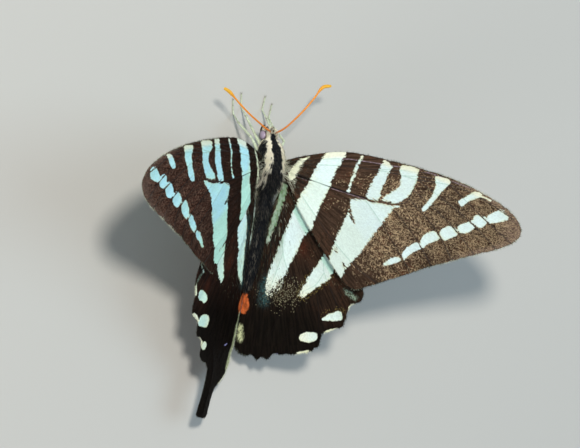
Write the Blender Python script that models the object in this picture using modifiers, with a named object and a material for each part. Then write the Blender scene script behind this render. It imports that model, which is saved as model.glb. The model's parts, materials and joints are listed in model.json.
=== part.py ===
# Zebra swallowtail, a life-size still model with its wings raised and spread.
# X is the butterfly's right, Y is forwards, Z is up, and the floor is at Z = 0.
# Sizes are in millimetres here and turned to metres where the meshes are made.

import math

import bmesh
import bpy
from mathutils import Euler, Matrix, Vector
from mathutils.geometry import delaunay_2d_cdt

MM = 0.001
GAP = 0.3
MERGE = 0.00001

# Wings: both are drawn flat, span first and forwards second, from the point on the
# body's middle line about which they rise.
WING_RISE = math.radians(31.0)
WING_THICKNESS = 0.5
VEIN_HEIGHT = 0.18
VEIN_HALF_WIDTH = 0.3
VEIN_STEP = 1.7
RIM_STEP = 1.3
FILL_STEP = 2.6
FOREWING_CAMBER = 0.8
MARGIN_START = (43.9, -7.0)
MARGIN_INWARDS = (-0.421, 0.907)
MARGIN_CURL = 0.65
MARGIN_REACH = 4.5
HINDWING_LAP = 1.15
HINDWING_DROOP = 0.115
DROOP_START = -8.0
DROOP_EASE = 3.0
CORNER_START = 13.0
CORNER_CURL = 0.036
NEAR_RIM = 0.25
NEAR_VEIN = 0.9

# The body's middle line, relative to the wings' rising point.
FLOOR = -8.5
SLAB = (60.0, 80.0, 5.0)
THORAX_SIDES = 28
THORAX_RINGS = (
    (4.75, -0.75, 0.0, 0.0),
    (4.6, -0.75, 1.0, 0.75),
    (4.1, -0.6, 1.75, 1.1),
    (3.4, -0.35, 2.15, 1.45),
    (2.5, -0.15, 2.45, 1.8),
    (1.2, -0.05, 2.75, 2.15),
    (-0.5, -0.1, 2.8, 2.3),
    (-2.2, -0.1, 2.5, 2.2),
    (-3.6, -0.3, 1.95, 1.85),
    (-4.6, -0.45, 1.35, 1.35),
    (-5.1, -0.55, 0.65, 0.7),
    (-5.25, -0.55, 0.0, 0.0),
)
ABDOMEN_SIDES = 24
ABDOMEN_SEGMENTS = 8
ABDOMEN_START = (-4.3, -0.5)
ABDOMEN_MIDDLE = (-12.5, -1.95)
ABDOMEN_END = (-22.3, -3.05)
ABDOMEN_RADIUS = 1.7
SEGMENT_GROOVE = 0.09

HEAD_CENTRE = (0.0, 4.92, -1.1)
HEAD_RADII = (1.4, 1.2, 1.15)
EYE_CENTRE = (1.2, 4.9, -1.6)
EYE_RADII = (0.58, 0.88, 0.88)

LEG_THICK = 0.36
SHIN_THICK = 0.27
FOOT_THICK = 0.25
FOOT_SINK = 0.08
LEG_BEND = 0.45
FEELER_THICK = 0.25
CLUB_THICK = 0.45
CLUB_START = 0.8

PALP_LINE = ((0.55, 5.2, -2.0), (0.6, 5.85, -2.3), (0.62, 6.2, -1.9), (0.6, 6.3, -1.3))
PALP_RADII = (0.3, 0.32, 0.29, 0.16)
COIL_CENTRE = (5.75, -3.5)
COIL_OUTER = 0.95
COIL_INNER = 0.36
COIL_TURNS = 1.05
COIL_THICK = 0.24
COIL_STEPS = 20

FOREWING_RIM = (
    (1.0, 0.9), (3.0, 1.3), (4.6, 1.9), (6.9, 2.6), (10.0, 3.4), (13.3, 3.8), (17.0, 3.6),
    (22.0, 3.0), (27.3, 2.2), (31.0, 1.4), (34.4, 0.4), (38.0, -1.0), (40.8, -2.4),
    (42.8, -4.0), (43.9, -5.7), (43.9, -7.0), (43.0, -8.2), (41.2, -9.3), (38.6, -10.4),
    (35.6, -11.5), (32.2, -12.9), (28.8, -14.2), (25.4, -15.8), (22.3, -17.2), (19.4, -18.5),
    (17.2, -19.4), (15.9, -19.1), (14.4, -17.9), (11.6, -14.6), (7.9, -9.9), (5.3, -6.2),
    (3.6, -3.0), (2.4, -1.9), (1.0, -1.5),
)
HINDWING_FRONT = (
    (1.0, -1.9), (3.2, -1.9), (6.0, -2.9), (9.5, -5.6), (13.0, -9.6), (16.0, -14.2),
    (17.9, -18.2), (18.5, -20.0), (18.2, -21.3), (16.8, -22.3), (16.2, -23.2), (16.0, -24.9),
    (15.5, -26.1), (14.2, -26.9), (12.5, -27.7), (12.1, -28.8), (11.9, -29.9),
)
HINDWING_INNER = (
    (-2.1, -31.4), (-1.9, -29.0), (-1.66, -26.0), (-1.48, -23.8), (-1.38, -22.6), (-1.2, -20.8),
    (-0.8, -18.2), (-0.4, -14.6), (0.4, -10.0), (1.6, -6.0), (2.0, -4.4), (1.0, -4.2),
)
BROKEN_TAIL = (
    (11.0, -30.8), (9.4, -31.4), (7.2, -31.9), (5.4, -32.1), (4.2, -32.3), (3.4, -33.2),
    (2.5, -32.8), (1.6, -33.5), (0.9, -32.8), (-0.4, -32.9), (-1.4, -32.8), (-1.9, -32.3),
)
WHOLE_TAIL = (
    (10.9, -30.5), (9.3, -30.9), (8.9, -32.1), (8.5, -33.6), (7.3, -34.5), (5.7, -35.0),
    (4.7, -36.1), (4.45, -38.4), (4.6, -41.0), (4.9, -43.4), (4.6, -44.0), (3.1, -44.3),
    (1.5, -44.2), (1.1, -43.5), (1.0, -41.0), (0.7, -39.0), (-0.5, -37.9), (-1.6, -36.6),
    (-2.3, -34.9), (-2.3, -33.2),
)
FOREWING_VEINS = {
    "subcosta": ((3.2, 0.9), (12.3, 2.5), (20.7, 2.3), (24.5, 2.2)),
    "radius": (
        (3.2, 0.4), (12.0, 1.3), (20.0, 1.2), (25.2, 0.5), (31.0, 0.2), (36.0, -1.2), (41.6, -4.2),
    ),
    "radius_1": ((16.5, 1.3), (22.0, 1.7), (27.5, 1.6)),
    "radius_2": ((23.0, 0.9), (28.0, 1.0), (33.0, 0.3)),
    "radius_5": ((31.0, 0.2), (37.8, -5.1), (41.6, -8.3)),
    "media_1": ((25.2, 0.5), (31.0, -2.9), (35.9, -6.2), (39.3, -9.6)),
    "media_2": ((24.7, -1.3), (29.5, -4.6), (33.1, -7.6), (36.0, -10.8)),
    "media_3": ((24.3, -3.0), (28.0, -6.2), (30.3, -8.8), (32.5, -12.2)),
    "cubitus_1": ((20.6, -4.0), (24.6, -7.8), (27.3, -10.9), (29.0, -13.5)),
    "cubitus_2": ((16.6, -3.7), (19.6, -7.1), (24.3, -13.1), (25.6, -15.1)),
    "anal": ((3.2, -1.2), (7.6, -6.4), (12.5, -11.8), (17.0, -15.8), (20.0, -17.5)),
    "cubital_stem": (
        (3.2, -0.5), (6.9, -1.5), (10.6, -2.5), (17.0, -3.7), (20.6, -4.0), (23.4, -3.8), (24.3, -3.0),
    ),
    "cell_end": ((25.2, 0.5), (24.7, -1.3), (24.3, -3.0)),
}
HINDWING_VEINS = {
    "front_edge": ((3.2, -2.5), (6.0, -4.2), (10.5, -8.8), (14.5, -14.5), (17.2, -19.0)),
    "radius": ((6.0, -4.2), (9.0, -10.0), (12.6, -15.6), (15.6, -18.8), (17.6, -20.8)),
    "media_1": ((11.0, -14.0), (11.4, -17.2), (14.0, -22.0), (15.6, -25.2)),
    "media_2": ((10.2, -19.4), (11.3, -24.5), (11.6, -29.4)),
    "media_3": ((8.2, -20.8), (7.4, -26.0), (5.0, -31.6)),
    "cubitus_1": ((5.8, -18.6), (4.4, -25.5), (2.4, -31.8)),
    "cubitus_2": ((4.0, -14.6), (2.0, -23.5), (0.4, -31.8)),
    "anal": ((3.0, -3.6), (2.6, -9.0), (1.8, -14.5), (0.9, -21.0), (-0.4, -27.0), (-1.0, -31.0)),
    "cell_foot": ((3.2, -3.0), (3.4, -9.0), (4.0, -14.6), (5.8, -18.6), (8.2, -20.8)),
    "cell_end": ((11.4, -17.2), (10.2, -19.4), (8.2, -20.8)),
}
TAIL_VEIN = ((5.0, -31.6), (3.0, -36.5), (2.9, -43.2))

# Legs: root, knee, ankle, first touch and toe, for the right side.
LEG_PATHS = {
    "foreleg": ((0.7, 2.0, -1.2), (2.0, 5.2, -3.2), (2.1, 7.9, -6.4), (2.1, 9.3), (2.4, 11.6)),
    "midleg": ((1.0, 0.8, -1.2), (3.3, 4.3, -1.7), (3.5, 6.6, -6.3), (3.6, 8.1), (3.9, 10.4)),
    "hindleg": ((0.9, -1.4, -1.2), (3.9, -4.0, -2.4), (4.9, -9.4, -6.0), (5.1, -11.6), (5.9, -17.0)),
}
FEELER_RIGHT = (
    (0.5, 5.2, -0.9), (0.75, 5.7, -0.1), (1.75, 6.35, 0.0), (3.0, 7.4, 0.0), (5.5, 10.1, 0.0),
    (7.2, 12.4, 0.1), (8.1, 13.8, 0.1), (8.9, 14.5, 0.1), (10.3, 14.75, 0.1),
)
FEELER_LEFT = (
    (-0.5, 5.2, -0.9), (-0.75, 5.7, -0.1), (-1.7, 6.2, -0.2), (-2.8, 6.9, -0.4), (-4.9, 8.2, -0.5),
    (-7.1, 9.75, -0.5), (-8.4, 10.8, -0.5), (-9.5, 11.6, -0.5), (-10.6, 12.05, -0.5),
)


# A new scene with one collection for the parts and one for the cutters

def clear_scene():
    for old in list(bpy.data.objects):
        bpy.data.objects.remove(old, do_unlink=True)


def new_collection(name):
    group = bpy.data.collections.new(name)
    bpy.context.scene.collection.children.link(group)
    return group


def make_material(name, colour, roughness):
    material = bpy.data.materials.new(name)
    material.use_nodes = True
    shader = material.node_tree.nodes["Principled BSDF"]
    shader.inputs["Base Color"].default_value = (*colour, 1.0)
    shader.inputs["Roughness"].default_value = roughness
    shader.inputs["Metallic"].default_value = 0.0
    return material


def paint(part, material):
    part.data.materials.clear()
    part.data.materials.append(material)


def mesh_object(name, mesh, group):
    made = bpy.data.objects.new(name, mesh)
    group.objects.link(made)
    return made


def object_from_bmesh(name, shape, group):
    mesh = bpy.data.meshes.new(name)
    shape.to_mesh(mesh)
    shape.free()
    return mesh_object(name, mesh, group)


def hide_cutter(cutter):
    cutter.hide_render = True
    cutter.display_type = "WIRE"


# Smooth lines through a few points

def smooth_line(points, step, closed=False):
    """Points every step along a smooth curve through the given ones."""
    knots = [Vector(point) for point in points]
    count = len(knots)
    line = []
    for index in range(count if closed else count - 1):
        if closed:
            before, start, end, after = (knots[(index + shift) % count] for shift in (-1, 0, 1, 2))
        else:
            start, end = knots[index], knots[index + 1]
            before = knots[index - 1] if index else start * 2 - end
            after = knots[index + 2] if index + 2 < count else end * 2 - start
        pieces = max(1, round((end - start).length / step))
        for piece in range(pieces):
            part = piece / pieces
            pull = (end - before) * 0.5
            push = (after - start) * 0.5
            square, cube = part * part, part * part * part
            line.append(start * (2 * cube - 3 * square + 1) + pull * (cube - 2 * square + part)
                        + end * (3 * square - 2 * cube) + push * (cube - square))
    if not closed:
        line.append(knots[-1])
    return line


# Body pieces: rings of an ellipse along the body, closed at both ends

def ringed_body(name, rings, sides, group, swell=0.0):
    """Rings are (forwards, up, half width, half height); a ring of no width is a tip."""
    shape = bmesh.new()
    made = []
    for number, (forwards, up, wide, high) in enumerate(rings):
        if wide <= 0.0:
            reach = swell if number == 0 else -swell
            made.append([shape.verts.new(Vector((0.0, forwards + reach, up)) * MM)])
            continue
        loop = []
        for side in range(sides):
            turn = 2 * math.pi * side / sides
            across = (wide + swell) * math.cos(turn)
            rise = (high + swell) * math.sin(turn)
            place = Vector((across, forwards, up + rise))
            loop.append(shape.verts.new(place * MM))
        made.append(loop)
    for first, second in zip(made, made[1:]):
        for side in range(sides):
            after = (side + 1) % sides
            if len(first) == 1:
                shape.faces.new((first[0], second[side], second[after]))
            elif len(second) == 1:
                shape.faces.new((first[side], second[0], first[after]))
            else:
                shape.faces.new((first[side], second[side], second[after], first[after]))
    bmesh.ops.recalc_face_normals(shape, faces=shape.faces)
    body = object_from_bmesh(name, shape, group)
    body.data.shade_smooth()
    return body


def abdomen_rings():
    """Eight segments that taper to the tip, each with a fine groove behind it."""
    line = smooth_line([(0.0, *ABDOMEN_START), (0.0, *ABDOMEN_MIDDLE), (0.0, *ABDOMEN_END)], 100.0)
    start, middle, end = line
    rings = []
    steps = ABDOMEN_SEGMENTS * 2
    for index in range(steps):
        part = index / steps
        if part < 0.5:
            centre = start.lerp(middle, part * 2)
        else:
            centre = middle.lerp(end, part * 2 - 1)
        swell = 0.72 + 0.28 * math.sin(min(1.0, part * 3.2) * math.pi / 2)
        taper = math.sqrt(max(0.0, 1 - (max(0.0, part - 0.42) / 0.6) ** 2.2))
        radius = ABDOMEN_RADIUS * swell * taper
        if index % 2 == 0:
            radius -= SEGMENT_GROOVE
        rings.append((centre.y, centre.z, radius, radius * 1.04))
    rings.append((end.y, end.z, 0.0, 0.0))
    return rings


def ellipsoid(name, centre, radii, group, swell=0.0, segments=20, rings=12):
    shape = bmesh.new()
    bmesh.ops.create_uvsphere(shape, u_segments=segments, v_segments=rings, radius=1.0)
    grow = Matrix.Diagonal([(radius + swell) * MM for radius in radii]).to_4x4()
    bmesh.ops.transform(shape, matrix=Matrix.Translation(Vector(centre) * MM) @ grow, verts=shape.verts)
    ball = object_from_bmesh(name, shape, group)
    ball.data.shade_smooth()
    return ball


# Round pieces of changing thickness, made from a curve and turned to a closed mesh

def tube(name, line, radii, group, sides=2):
    data = bpy.data.curves.new(name, "CURVE")
    data.dimensions = "3D"
    data.bevel_depth = MM
    data.bevel_resolution = sides
    data.use_fill_caps = True
    spline = data.splines.new("POLY")
    spline.points.add(len(line) - 1)
    for point, place, radius in zip(spline.points, line, radii):
        point.co = (*(place * MM), 1.0)
        point.radius = radius
    wire = mesh_object(name + "_line", data, group)
    bpy.context.view_layer.update()
    depsgraph = bpy.context.evaluated_depsgraph_get()
    mesh = bpy.data.meshes.new_from_object(wire.evaluated_get(depsgraph))
    shape = bmesh.new()
    shape.from_mesh(mesh)
    bmesh.ops.remove_doubles(shape, verts=shape.verts, dist=MERGE)
    bmesh.ops.recalc_face_normals(shape, faces=shape.faces)
    shape.to_mesh(mesh)
    shape.free()
    mesh.name = name
    made = mesh_object(name, mesh, group)
    made.matrix_world = wire.matrix_world
    bpy.data.objects.remove(wire, do_unlink=True)
    made.data.shade_smooth()
    return made


def cut(target, cutters):
    """Takes the cutters out of the target, where it meets its neighbours."""
    for cutter in cutters:
        step = target.modifiers.new("cut_" + cutter.name, "BOOLEAN")
        step.operation = "DIFFERENCE"
        step.solver = "EXACT"
        step.object = cutter


def keep_largest(target):
    """Applies the cuts and keeps the one closed surface that is the node."""
    bpy.context.view_layer.update()
    depsgraph = bpy.context.evaluated_depsgraph_get()
    mesh = bpy.data.meshes.new_from_object(target.evaluated_get(depsgraph))
    target.modifiers.clear()
    target.data = mesh
    shape = bmesh.new()
    shape.from_mesh(mesh)
    bmesh.ops.remove_doubles(shape, verts=shape.verts, dist=MERGE)
    islands = []
    unseen = set(shape.faces)
    while unseen:
        island = {unseen.pop()}
        front = set(island)
        while front:
            near = {other for face in front for edge in face.edges for other in edge.link_faces}
            front = near & unseen
            unseen -= front
            island |= front
        islands.append(island)
    islands.sort(key=len)
    loose = [face for island in islands[:-1] for face in island]
    bmesh.ops.delete(shape, geom=loose, context="FACES")
    bmesh.ops.triangulate(shape, faces=shape.faces)
    shape.to_mesh(mesh)
    shape.free()


# Wings: a thin cambered sheet with the veins raised in its own surface

def forewing_height(span, forwards):
    """The forewing arches a little, and its outer margin curls up."""
    along = min(1.0, max(0.0, (span - 3.0) / 34.0))
    across = min(1.0, max(0.0, (3.5 - forwards) / 20.0))
    arch = FOREWING_CAMBER * math.sin(math.pi * along) * math.sin(math.pi * min(1.0, across * 1.15))
    inside = (Vector((span, forwards)) - Vector(MARGIN_START)).dot(Vector(MARGIN_INWARDS))
    return arch + MARGIN_CURL * min(1.0, max(0.0, 1.0 - inside / MARGIN_REACH)) ** 2


def hindwing_height(span, forwards):
    """The hindwing lies under the forewing, droops behind and curls up at its outer corner."""
    behind = max(0.0, DROOP_START - forwards)
    soft = behind * behind / (behind + DROOP_EASE)
    curl = CORNER_CURL * max(0.0, span - CORNER_START) ** 2
    return curl - HINDWING_LAP - HINDWING_DROOP * (soft + 0.2 * behind)


def distance_to_line(point, line):
    best = 1e9
    for start, end in zip(line, line[1:]):
        run = end - start
        share = max(0.0, min(1.0, (point - start).dot(run) / max(run.length_squared, 1e-9)))
        best = min(best, (point - start - run * share).length)
    return best


def vein_points(veins):
    """Crest lines, and points beside them where the ridge meets the membrane."""
    crests = [smooth_line(line, VEIN_STEP) for line in veins.values()]
    sides = []
    for crest in crests:
        for index, point in enumerate(crest):
            run = crest[min(index + 1, len(crest) - 1)] - crest[max(index - 1, 0)]
            across = Vector((-run.y, run.x)).normalized() * VEIN_HALF_WIDTH
            for place in (point + across, point - across):
                others = min(distance_to_line(place, other) for other in crests)
                if others > VEIN_HALF_WIDTH * NEAR_VEIN:
                    sides.append(place)
    return crests, sides


def spread_points(rim, crests, taken):
    """Loose points that fill the wide cells between the veins."""
    low = Vector((min(point.x for point in rim), min(point.y for point in rim)))
    high = Vector((max(point.x for point in rim), max(point.y for point in rim)))
    loop = rim + rim[:1]
    filled = []
    row = 0
    forwards = low.y
    while forwards < high.y:
        span = low.x + (FILL_STEP / 2 if row % 2 else 0.0)
        while span < high.x:
            place = Vector((span, forwards))
            clear = distance_to_line(place, loop) > 1.0
            clear = clear and min(distance_to_line(place, crest) for crest in crests) > 1.0
            if clear and min((place - point).length for point in taken) > 0.9:
                filled.append(place)
            span += FILL_STEP
        row += 1
        forwards += FILL_STEP * 0.87
    return filled


def wing_sheet(name, outline, veins, height, side, group):
    rim = smooth_line(outline, RIM_STEP, closed=True)
    crests, beside = vein_points(veins)
    loop = rim + rim[:1]
    beside = [place for place in beside if distance_to_line(place, loop) > NEAR_RIM]
    fill = spread_points(rim, crests, beside)
    points = list(rim) + beside + fill
    edges = []
    for crest in crests:
        first = len(points)
        points += crest
        edges += [(first + index, first + index + 1) for index in range(len(crest) - 1)]
    found = delaunay_2d_cdt(points, edges, [tuple(range(len(rim)))], 1, 0.02)
    shape = bmesh.new()
    placed = []
    for point in found[0]:
        near = min(distance_to_line(point, crest) for crest in crests)
        ridge = VEIN_HEIGHT * max(0.0, 1 - near / (VEIN_HALF_WIDTH * 0.95))
        level = height(point.x, point.y) + ridge
        placed.append(shape.verts.new(Vector((side * point.x, point.y, level)) * MM))
    for face in found[2]:
        shape.faces.new([placed[index] for index in face])
    loose = [vert for vert in shape.verts if not vert.link_faces]
    bmesh.ops.delete(shape, geom=loose, context="VERTS")
    bmesh.ops.recalc_face_normals(shape, faces=shape.faces)
    if sum(face.normal.z for face in shape.faces) < 0:
        bmesh.ops.reverse_faces(shape, faces=shape.faces)
    sheet = object_from_bmesh(name, shape, group)
    sheet.rotation_euler = Euler((0.0, -side * WING_RISE, 0.0))
    body = sheet.modifiers.new("thickness", "SOLIDIFY")
    body.thickness = WING_THICKNESS * MM
    body.offset = 0.0
    sheet.data.shade_smooth()
    return sheet


def make_wing(name, outline, veins, height, side, group, material, cutters):
    sheet = wing_sheet(name, outline, veins, height, side, group)
    cut(sheet, cutters)
    keep_largest(sheet)
    paint(sheet, material)
    return sheet


# Legs and feelers

def leg_line(joints):
    """A leg bends sharply at the knee and ankle and ends in a foot laid along the floor."""
    root, knee, ankle, touch, toe = joints
    level = FLOOR + FOOT_THICK - FOOT_SINK
    corners = [Vector(root), Vector(knee), Vector(ankle), Vector((*touch, level)), Vector((*toe, level))]
    line = [corners[0]]
    for before, corner, after in zip(corners, corners[1:], corners[2:]):
        into = (corner - before).normalized()
        out = (after - corner).normalized()
        turn = corner + (out - into) * LEG_BEND / 4
        line += [corner.lerp(before, 0.5), corner - into * LEG_BEND, turn, corner + out * LEG_BEND]
    line += [corners[-2].lerp(corners[-1], 0.5), corners[-1]]
    return line


def make_leg(name, joints, side, group, material, cutters):
    placed = [(side * joint[0], *joint[1:]) for joint in joints]
    line = leg_line(placed)
    knee, ankle = 3, 7
    radii = []
    for index in range(len(line)):
        if index < knee:
            radii.append(LEG_THICK * (0.9 + 0.1 * (index > 0)))
        elif index < ankle:
            radii.append(SHIN_THICK)
        else:
            radii.append(FOOT_THICK)
    radii[-1] = FOOT_THICK * 0.7
    leg = tube(name, line, radii, group)
    cut(leg, cutters)
    keep_largest(leg)
    paint(leg, material)
    return leg


def make_feeler(name, points, group, material, cutters):
    line = smooth_line(points, 1.1)
    whole = sum((after - before).length for before, after in zip(line, line[1:]))
    reached = 0.0
    radii = []
    for index, point in enumerate(line):
        if index:
            reached += (point - line[index - 1]).length
        share = reached / whole
        club = math.sin(math.pi * min(1.0, max(0.0, (share - CLUB_START) / 0.235))) ** 0.7
        radii.append(FEELER_THICK + (CLUB_THICK - FEELER_THICK) * club)
    radii[-1] *= 0.6
    feeler = tube(name, line, radii, group)
    cut(feeler, cutters)
    keep_largest(feeler)
    paint(feeler, material)
    return feeler


# Head pieces

def make_palp(name, side, group, material, cutters):
    line = smooth_line([(side * across, forwards, up) for across, forwards, up in PALP_LINE], 0.4)
    last = len(line) - 1
    radii = []
    for index in range(len(line)):
        place = index / last * (len(PALP_RADII) - 1)
        low = min(int(place), len(PALP_RADII) - 2)
        radii.append(PALP_RADII[low] + (PALP_RADII[low + 1] - PALP_RADII[low]) * (place - low))
    palp = tube(name, line, radii, group)
    cut(palp, cutters)
    keep_largest(palp)
    paint(palp, material)
    return palp


def make_proboscis(group, material, cutters):
    """The tongue leaves the mouth and is coiled up under the head."""
    forwards, up = COIL_CENTRE
    mouth = forwards - COIL_OUTER
    line = [Vector((0.0, mouth - 0.05, up + 1.5)), Vector((0.0, mouth - 0.02, up + 0.7))]
    for index in range(COIL_STEPS + 1):
        share = index / COIL_STEPS
        turn = math.pi + share * COIL_TURNS * 2 * math.pi
        reach = COIL_OUTER + (COIL_INNER - COIL_OUTER) * share
        line.append(Vector((0.0, forwards + reach * math.cos(turn), up + reach * math.sin(turn))))
    radii = [COIL_THICK] * (len(line) - 1) + [COIL_THICK * 0.7]
    coil = tube("proboscis", line, radii, group)
    cut(coil, cutters)
    keep_largest(coil)
    paint(coil, material)
    return coil


def make_floor_cutter(group):
    """A slab whose top is the floor, which lays the feet flat."""
    slab = bmesh.new()
    bmesh.ops.create_cube(slab, size=1.0)
    wide, long, deep = SLAB
    under = Matrix.Translation((0.0, 0.0, (FLOOR - deep / 2) * MM))
    grow = Matrix.Diagonal((wide * MM, long * MM, deep * MM, 1.0))
    bmesh.ops.transform(slab, matrix=under @ grow, verts=slab.verts)
    return object_from_bmesh("floor_cutter", slab, group)


def stand_on_floor(parts):
    """Moves every part so that the feet are at Z = 0 and the box is centred on X and Y."""
    bpy.context.view_layer.update()
    corners = [part.matrix_world @ vert.co for part in parts for vert in part.data.vertices]
    shift = Vector((
        -(min(corner.x for corner in corners) + max(corner.x for corner in corners)) / 2,
        -(min(corner.y for corner in corners) + max(corner.y for corner in corners)) / 2,
        -FLOOR * MM,
    ))
    for part in parts:
        part.location += shift


def main():
    clear_scene()
    parts = new_collection("zebra_swallowtail")
    cutters = new_collection("cutters")

    black = make_material("thorax_fur", (0.012, 0.010, 0.009), 0.85)
    dark = make_material("abdomen_fur", (0.016, 0.014, 0.013), 0.8)
    face = make_material("head_fur", (0.02, 0.017, 0.014), 0.85)
    eye = make_material("eye_surface", (0.010, 0.008, 0.008), 0.25)
    orange = make_material("feeler_skin", (0.82, 0.27, 0.03), 0.45)
    hair = make_material("palp_fur", (0.5, 0.46, 0.36), 0.8)
    tongue = make_material("tongue_skin", (0.05, 0.03, 0.02), 0.4)
    pale = make_material("leg_skin", (0.62, 0.72, 0.55), 0.6)
    membrane = make_material("wing_scales", (0.03, 0.022, 0.016), 0.7)

    thorax = ringed_body("thorax", THORAX_RINGS, THORAX_SIDES, parts)
    thorax_cutter = ringed_body("thorax_cutter", THORAX_RINGS, THORAX_SIDES, cutters, GAP)
    abdomen = ringed_body("abdomen", abdomen_rings(), ABDOMEN_SIDES, parts)
    abdomen_cutter = ringed_body("abdomen_cutter", abdomen_rings(), ABDOMEN_SIDES, cutters,
                                 GAP + SEGMENT_GROOVE)
    head = ellipsoid("head", HEAD_CENTRE, HEAD_RADII, parts)
    head_cutter = ellipsoid("head_cutter", HEAD_CENTRE, HEAD_RADII, cutters, GAP)
    floor_cutter = make_floor_cutter(cutters)

    eyes = []
    eye_cutters = []
    for word, side in (("right", 1), ("left", -1)):
        centre = (side * EYE_CENTRE[0], EYE_CENTRE[1], EYE_CENTRE[2])
        eyes.append(ellipsoid("eye_" + word, centre, EYE_RADII, parts))
        eye_cutters.append(ellipsoid("eye_cutter_" + word, centre, EYE_RADII, cutters, GAP))
        cut(eyes[-1], [thorax_cutter])
        keep_largest(eyes[-1])
        paint(eyes[-1], eye)

    cut(abdomen, [thorax_cutter])
    keep_largest(abdomen)
    cut(head, [thorax_cutter, *eye_cutters])
    keep_largest(head)
    paint(thorax, black)
    paint(abdomen, dark)
    paint(head, face)

    whole_veins = dict(HINDWING_VEINS)
    whole_veins["tail"] = TAIL_VEIN
    hindwing_broken = HINDWING_FRONT + BROKEN_TAIL + HINDWING_INNER
    hindwing_whole = HINDWING_FRONT + WHOLE_TAIL + HINDWING_INNER
    body_cutters = [thorax_cutter, abdomen_cutter]
    for word, side in (("right", 1), ("left", -1)):
        make_wing("forewing_" + word, FOREWING_RIM, FOREWING_VEINS, forewing_height, side, parts,
                  membrane, [thorax_cutter])
        outline = hindwing_broken if side > 0 else hindwing_whole
        veins = HINDWING_VEINS if side > 0 else whole_veins
        make_wing("hindwing_" + word, outline, veins, hindwing_height, side, parts,
                  membrane, body_cutters)
        for kind, joints in LEG_PATHS.items():
            make_leg(kind + "_" + word, joints, side, parts, pale, [thorax_cutter, floor_cutter])
        make_palp("palp_" + word, side, parts, hair, [head_cutter])
    make_feeler("antenna_right", FEELER_RIGHT, parts, orange, [head_cutter])
    make_feeler("antenna_left", FEELER_LEFT, parts, orange, [head_cutter])
    make_proboscis(parts, tongue, [head_cutter])

    for cutter in cutters.objects:
        hide_cutter(cutter)
    stand_on_floor(list(parts.objects))


main()
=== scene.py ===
import json
import math
from functools import partial

import bmesh
import bpy
import numpy as np
from mathutils import Matrix, Vector, noise
from mathutils.geometry import delaunay_2d_cdt

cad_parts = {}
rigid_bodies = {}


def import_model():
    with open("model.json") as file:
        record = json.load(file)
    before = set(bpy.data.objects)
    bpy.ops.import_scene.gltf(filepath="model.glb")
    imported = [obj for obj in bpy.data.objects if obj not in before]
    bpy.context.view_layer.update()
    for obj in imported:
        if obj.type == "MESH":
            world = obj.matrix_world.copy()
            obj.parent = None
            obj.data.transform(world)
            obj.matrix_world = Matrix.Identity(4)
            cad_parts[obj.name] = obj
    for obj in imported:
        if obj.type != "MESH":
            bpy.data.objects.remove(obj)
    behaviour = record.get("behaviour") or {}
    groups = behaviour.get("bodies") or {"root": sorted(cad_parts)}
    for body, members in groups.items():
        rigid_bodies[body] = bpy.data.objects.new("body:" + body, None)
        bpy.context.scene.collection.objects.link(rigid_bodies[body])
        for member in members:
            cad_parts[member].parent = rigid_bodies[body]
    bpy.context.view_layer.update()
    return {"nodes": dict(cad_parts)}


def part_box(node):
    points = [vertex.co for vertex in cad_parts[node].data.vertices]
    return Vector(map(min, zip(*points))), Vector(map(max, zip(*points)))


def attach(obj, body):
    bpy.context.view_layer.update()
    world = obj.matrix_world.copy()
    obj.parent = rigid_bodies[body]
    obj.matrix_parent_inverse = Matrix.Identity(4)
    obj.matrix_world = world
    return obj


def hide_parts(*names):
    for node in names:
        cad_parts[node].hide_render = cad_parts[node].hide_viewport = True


for old in list(bpy.data.objects):
    bpy.data.objects.remove(old, do_unlink=True)

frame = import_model()
mm = 0.001

# The wings rise about a point on the body's middle line, which the thorax gives
thoraxLow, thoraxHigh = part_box("thorax")
hinge = Vector((0.0, (thoraxLow.y + thoraxHigh.y) / 2 + 0.25 * mm, thoraxLow.z + 2.4 * mm))
wingRise = math.radians(31.0)
floorLevel = -hinge.z / mm
sides = (("right", 1), ("left", -1))


# Small tools that every piece uses

def linearColour(code):
    values = []
    for start in (1, 3, 5):
        share = int(code[start:start + 2], 16) / 255
        values.append(share / 12.92 if share <= 0.04045 else ((share + 0.055) / 1.055) ** 2.4)
    return (*values, 1.0)


def perMetre(size):  # a texture's scale from a real size in millimetres
    return 1.0 / (size * mm)


def addNode(tree, kind, values=None, **settings):
    node = tree.nodes.new(kind)
    for name, value in settings.items():
        setattr(node, name, value)
    for socket, value in (values or {}).items():
        if isinstance(value, bpy.types.NodeSocket):
            tree.links.new(value, node.inputs[socket])
        else:
            node.inputs[socket].default_value = value
    return node


def readLabel(tree, label):
    return addNode(tree, "ShaderNodeAttribute", attribute_name=label).outputs["Fac"]


def readPlace(tree, label):
    return addNode(tree, "ShaderNodeAttribute", attribute_name=label).outputs["Vector"]


def objectPlace(tree):
    return addNode(tree, "ShaderNodeTexCoord").outputs["Object"]


def calculate(tree, operation, *values):
    return addNode(tree, "ShaderNodeMath", dict(enumerate(values)), operation=operation).outputs[0]


def moveVector(tree, operation, *values):
    return addNode(tree, "ShaderNodeVectorMath", dict(enumerate(values)), operation=operation).outputs[0]


def scaleVector(tree, vector, share):
    return addNode(tree, "ShaderNodeVectorMath", {0: vector, "Scale": share}, operation="SCALE").outputs[0]


def mapRange(tree, value, low, high, toLow=0.0, toHigh=1.0, soft=True):
    given = {"Value": value, "From Min": low, "From Max": high, "To Min": toLow, "To Max": toHigh}
    kind = "SMOOTHSTEP" if soft else "LINEAR"
    return addNode(tree, "ShaderNodeMapRange", given, interpolation_type=kind).outputs["Result"]


def mixColours(tree, share, first, second):
    return addNode(tree, "ShaderNodeMix", {"Factor": share, 6: first, 7: second}, data_type="RGBA").outputs[2]


def splitColour(tree, colour):
    return addNode(tree, "ShaderNodeSeparateColor", {0: colour}).outputs


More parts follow.
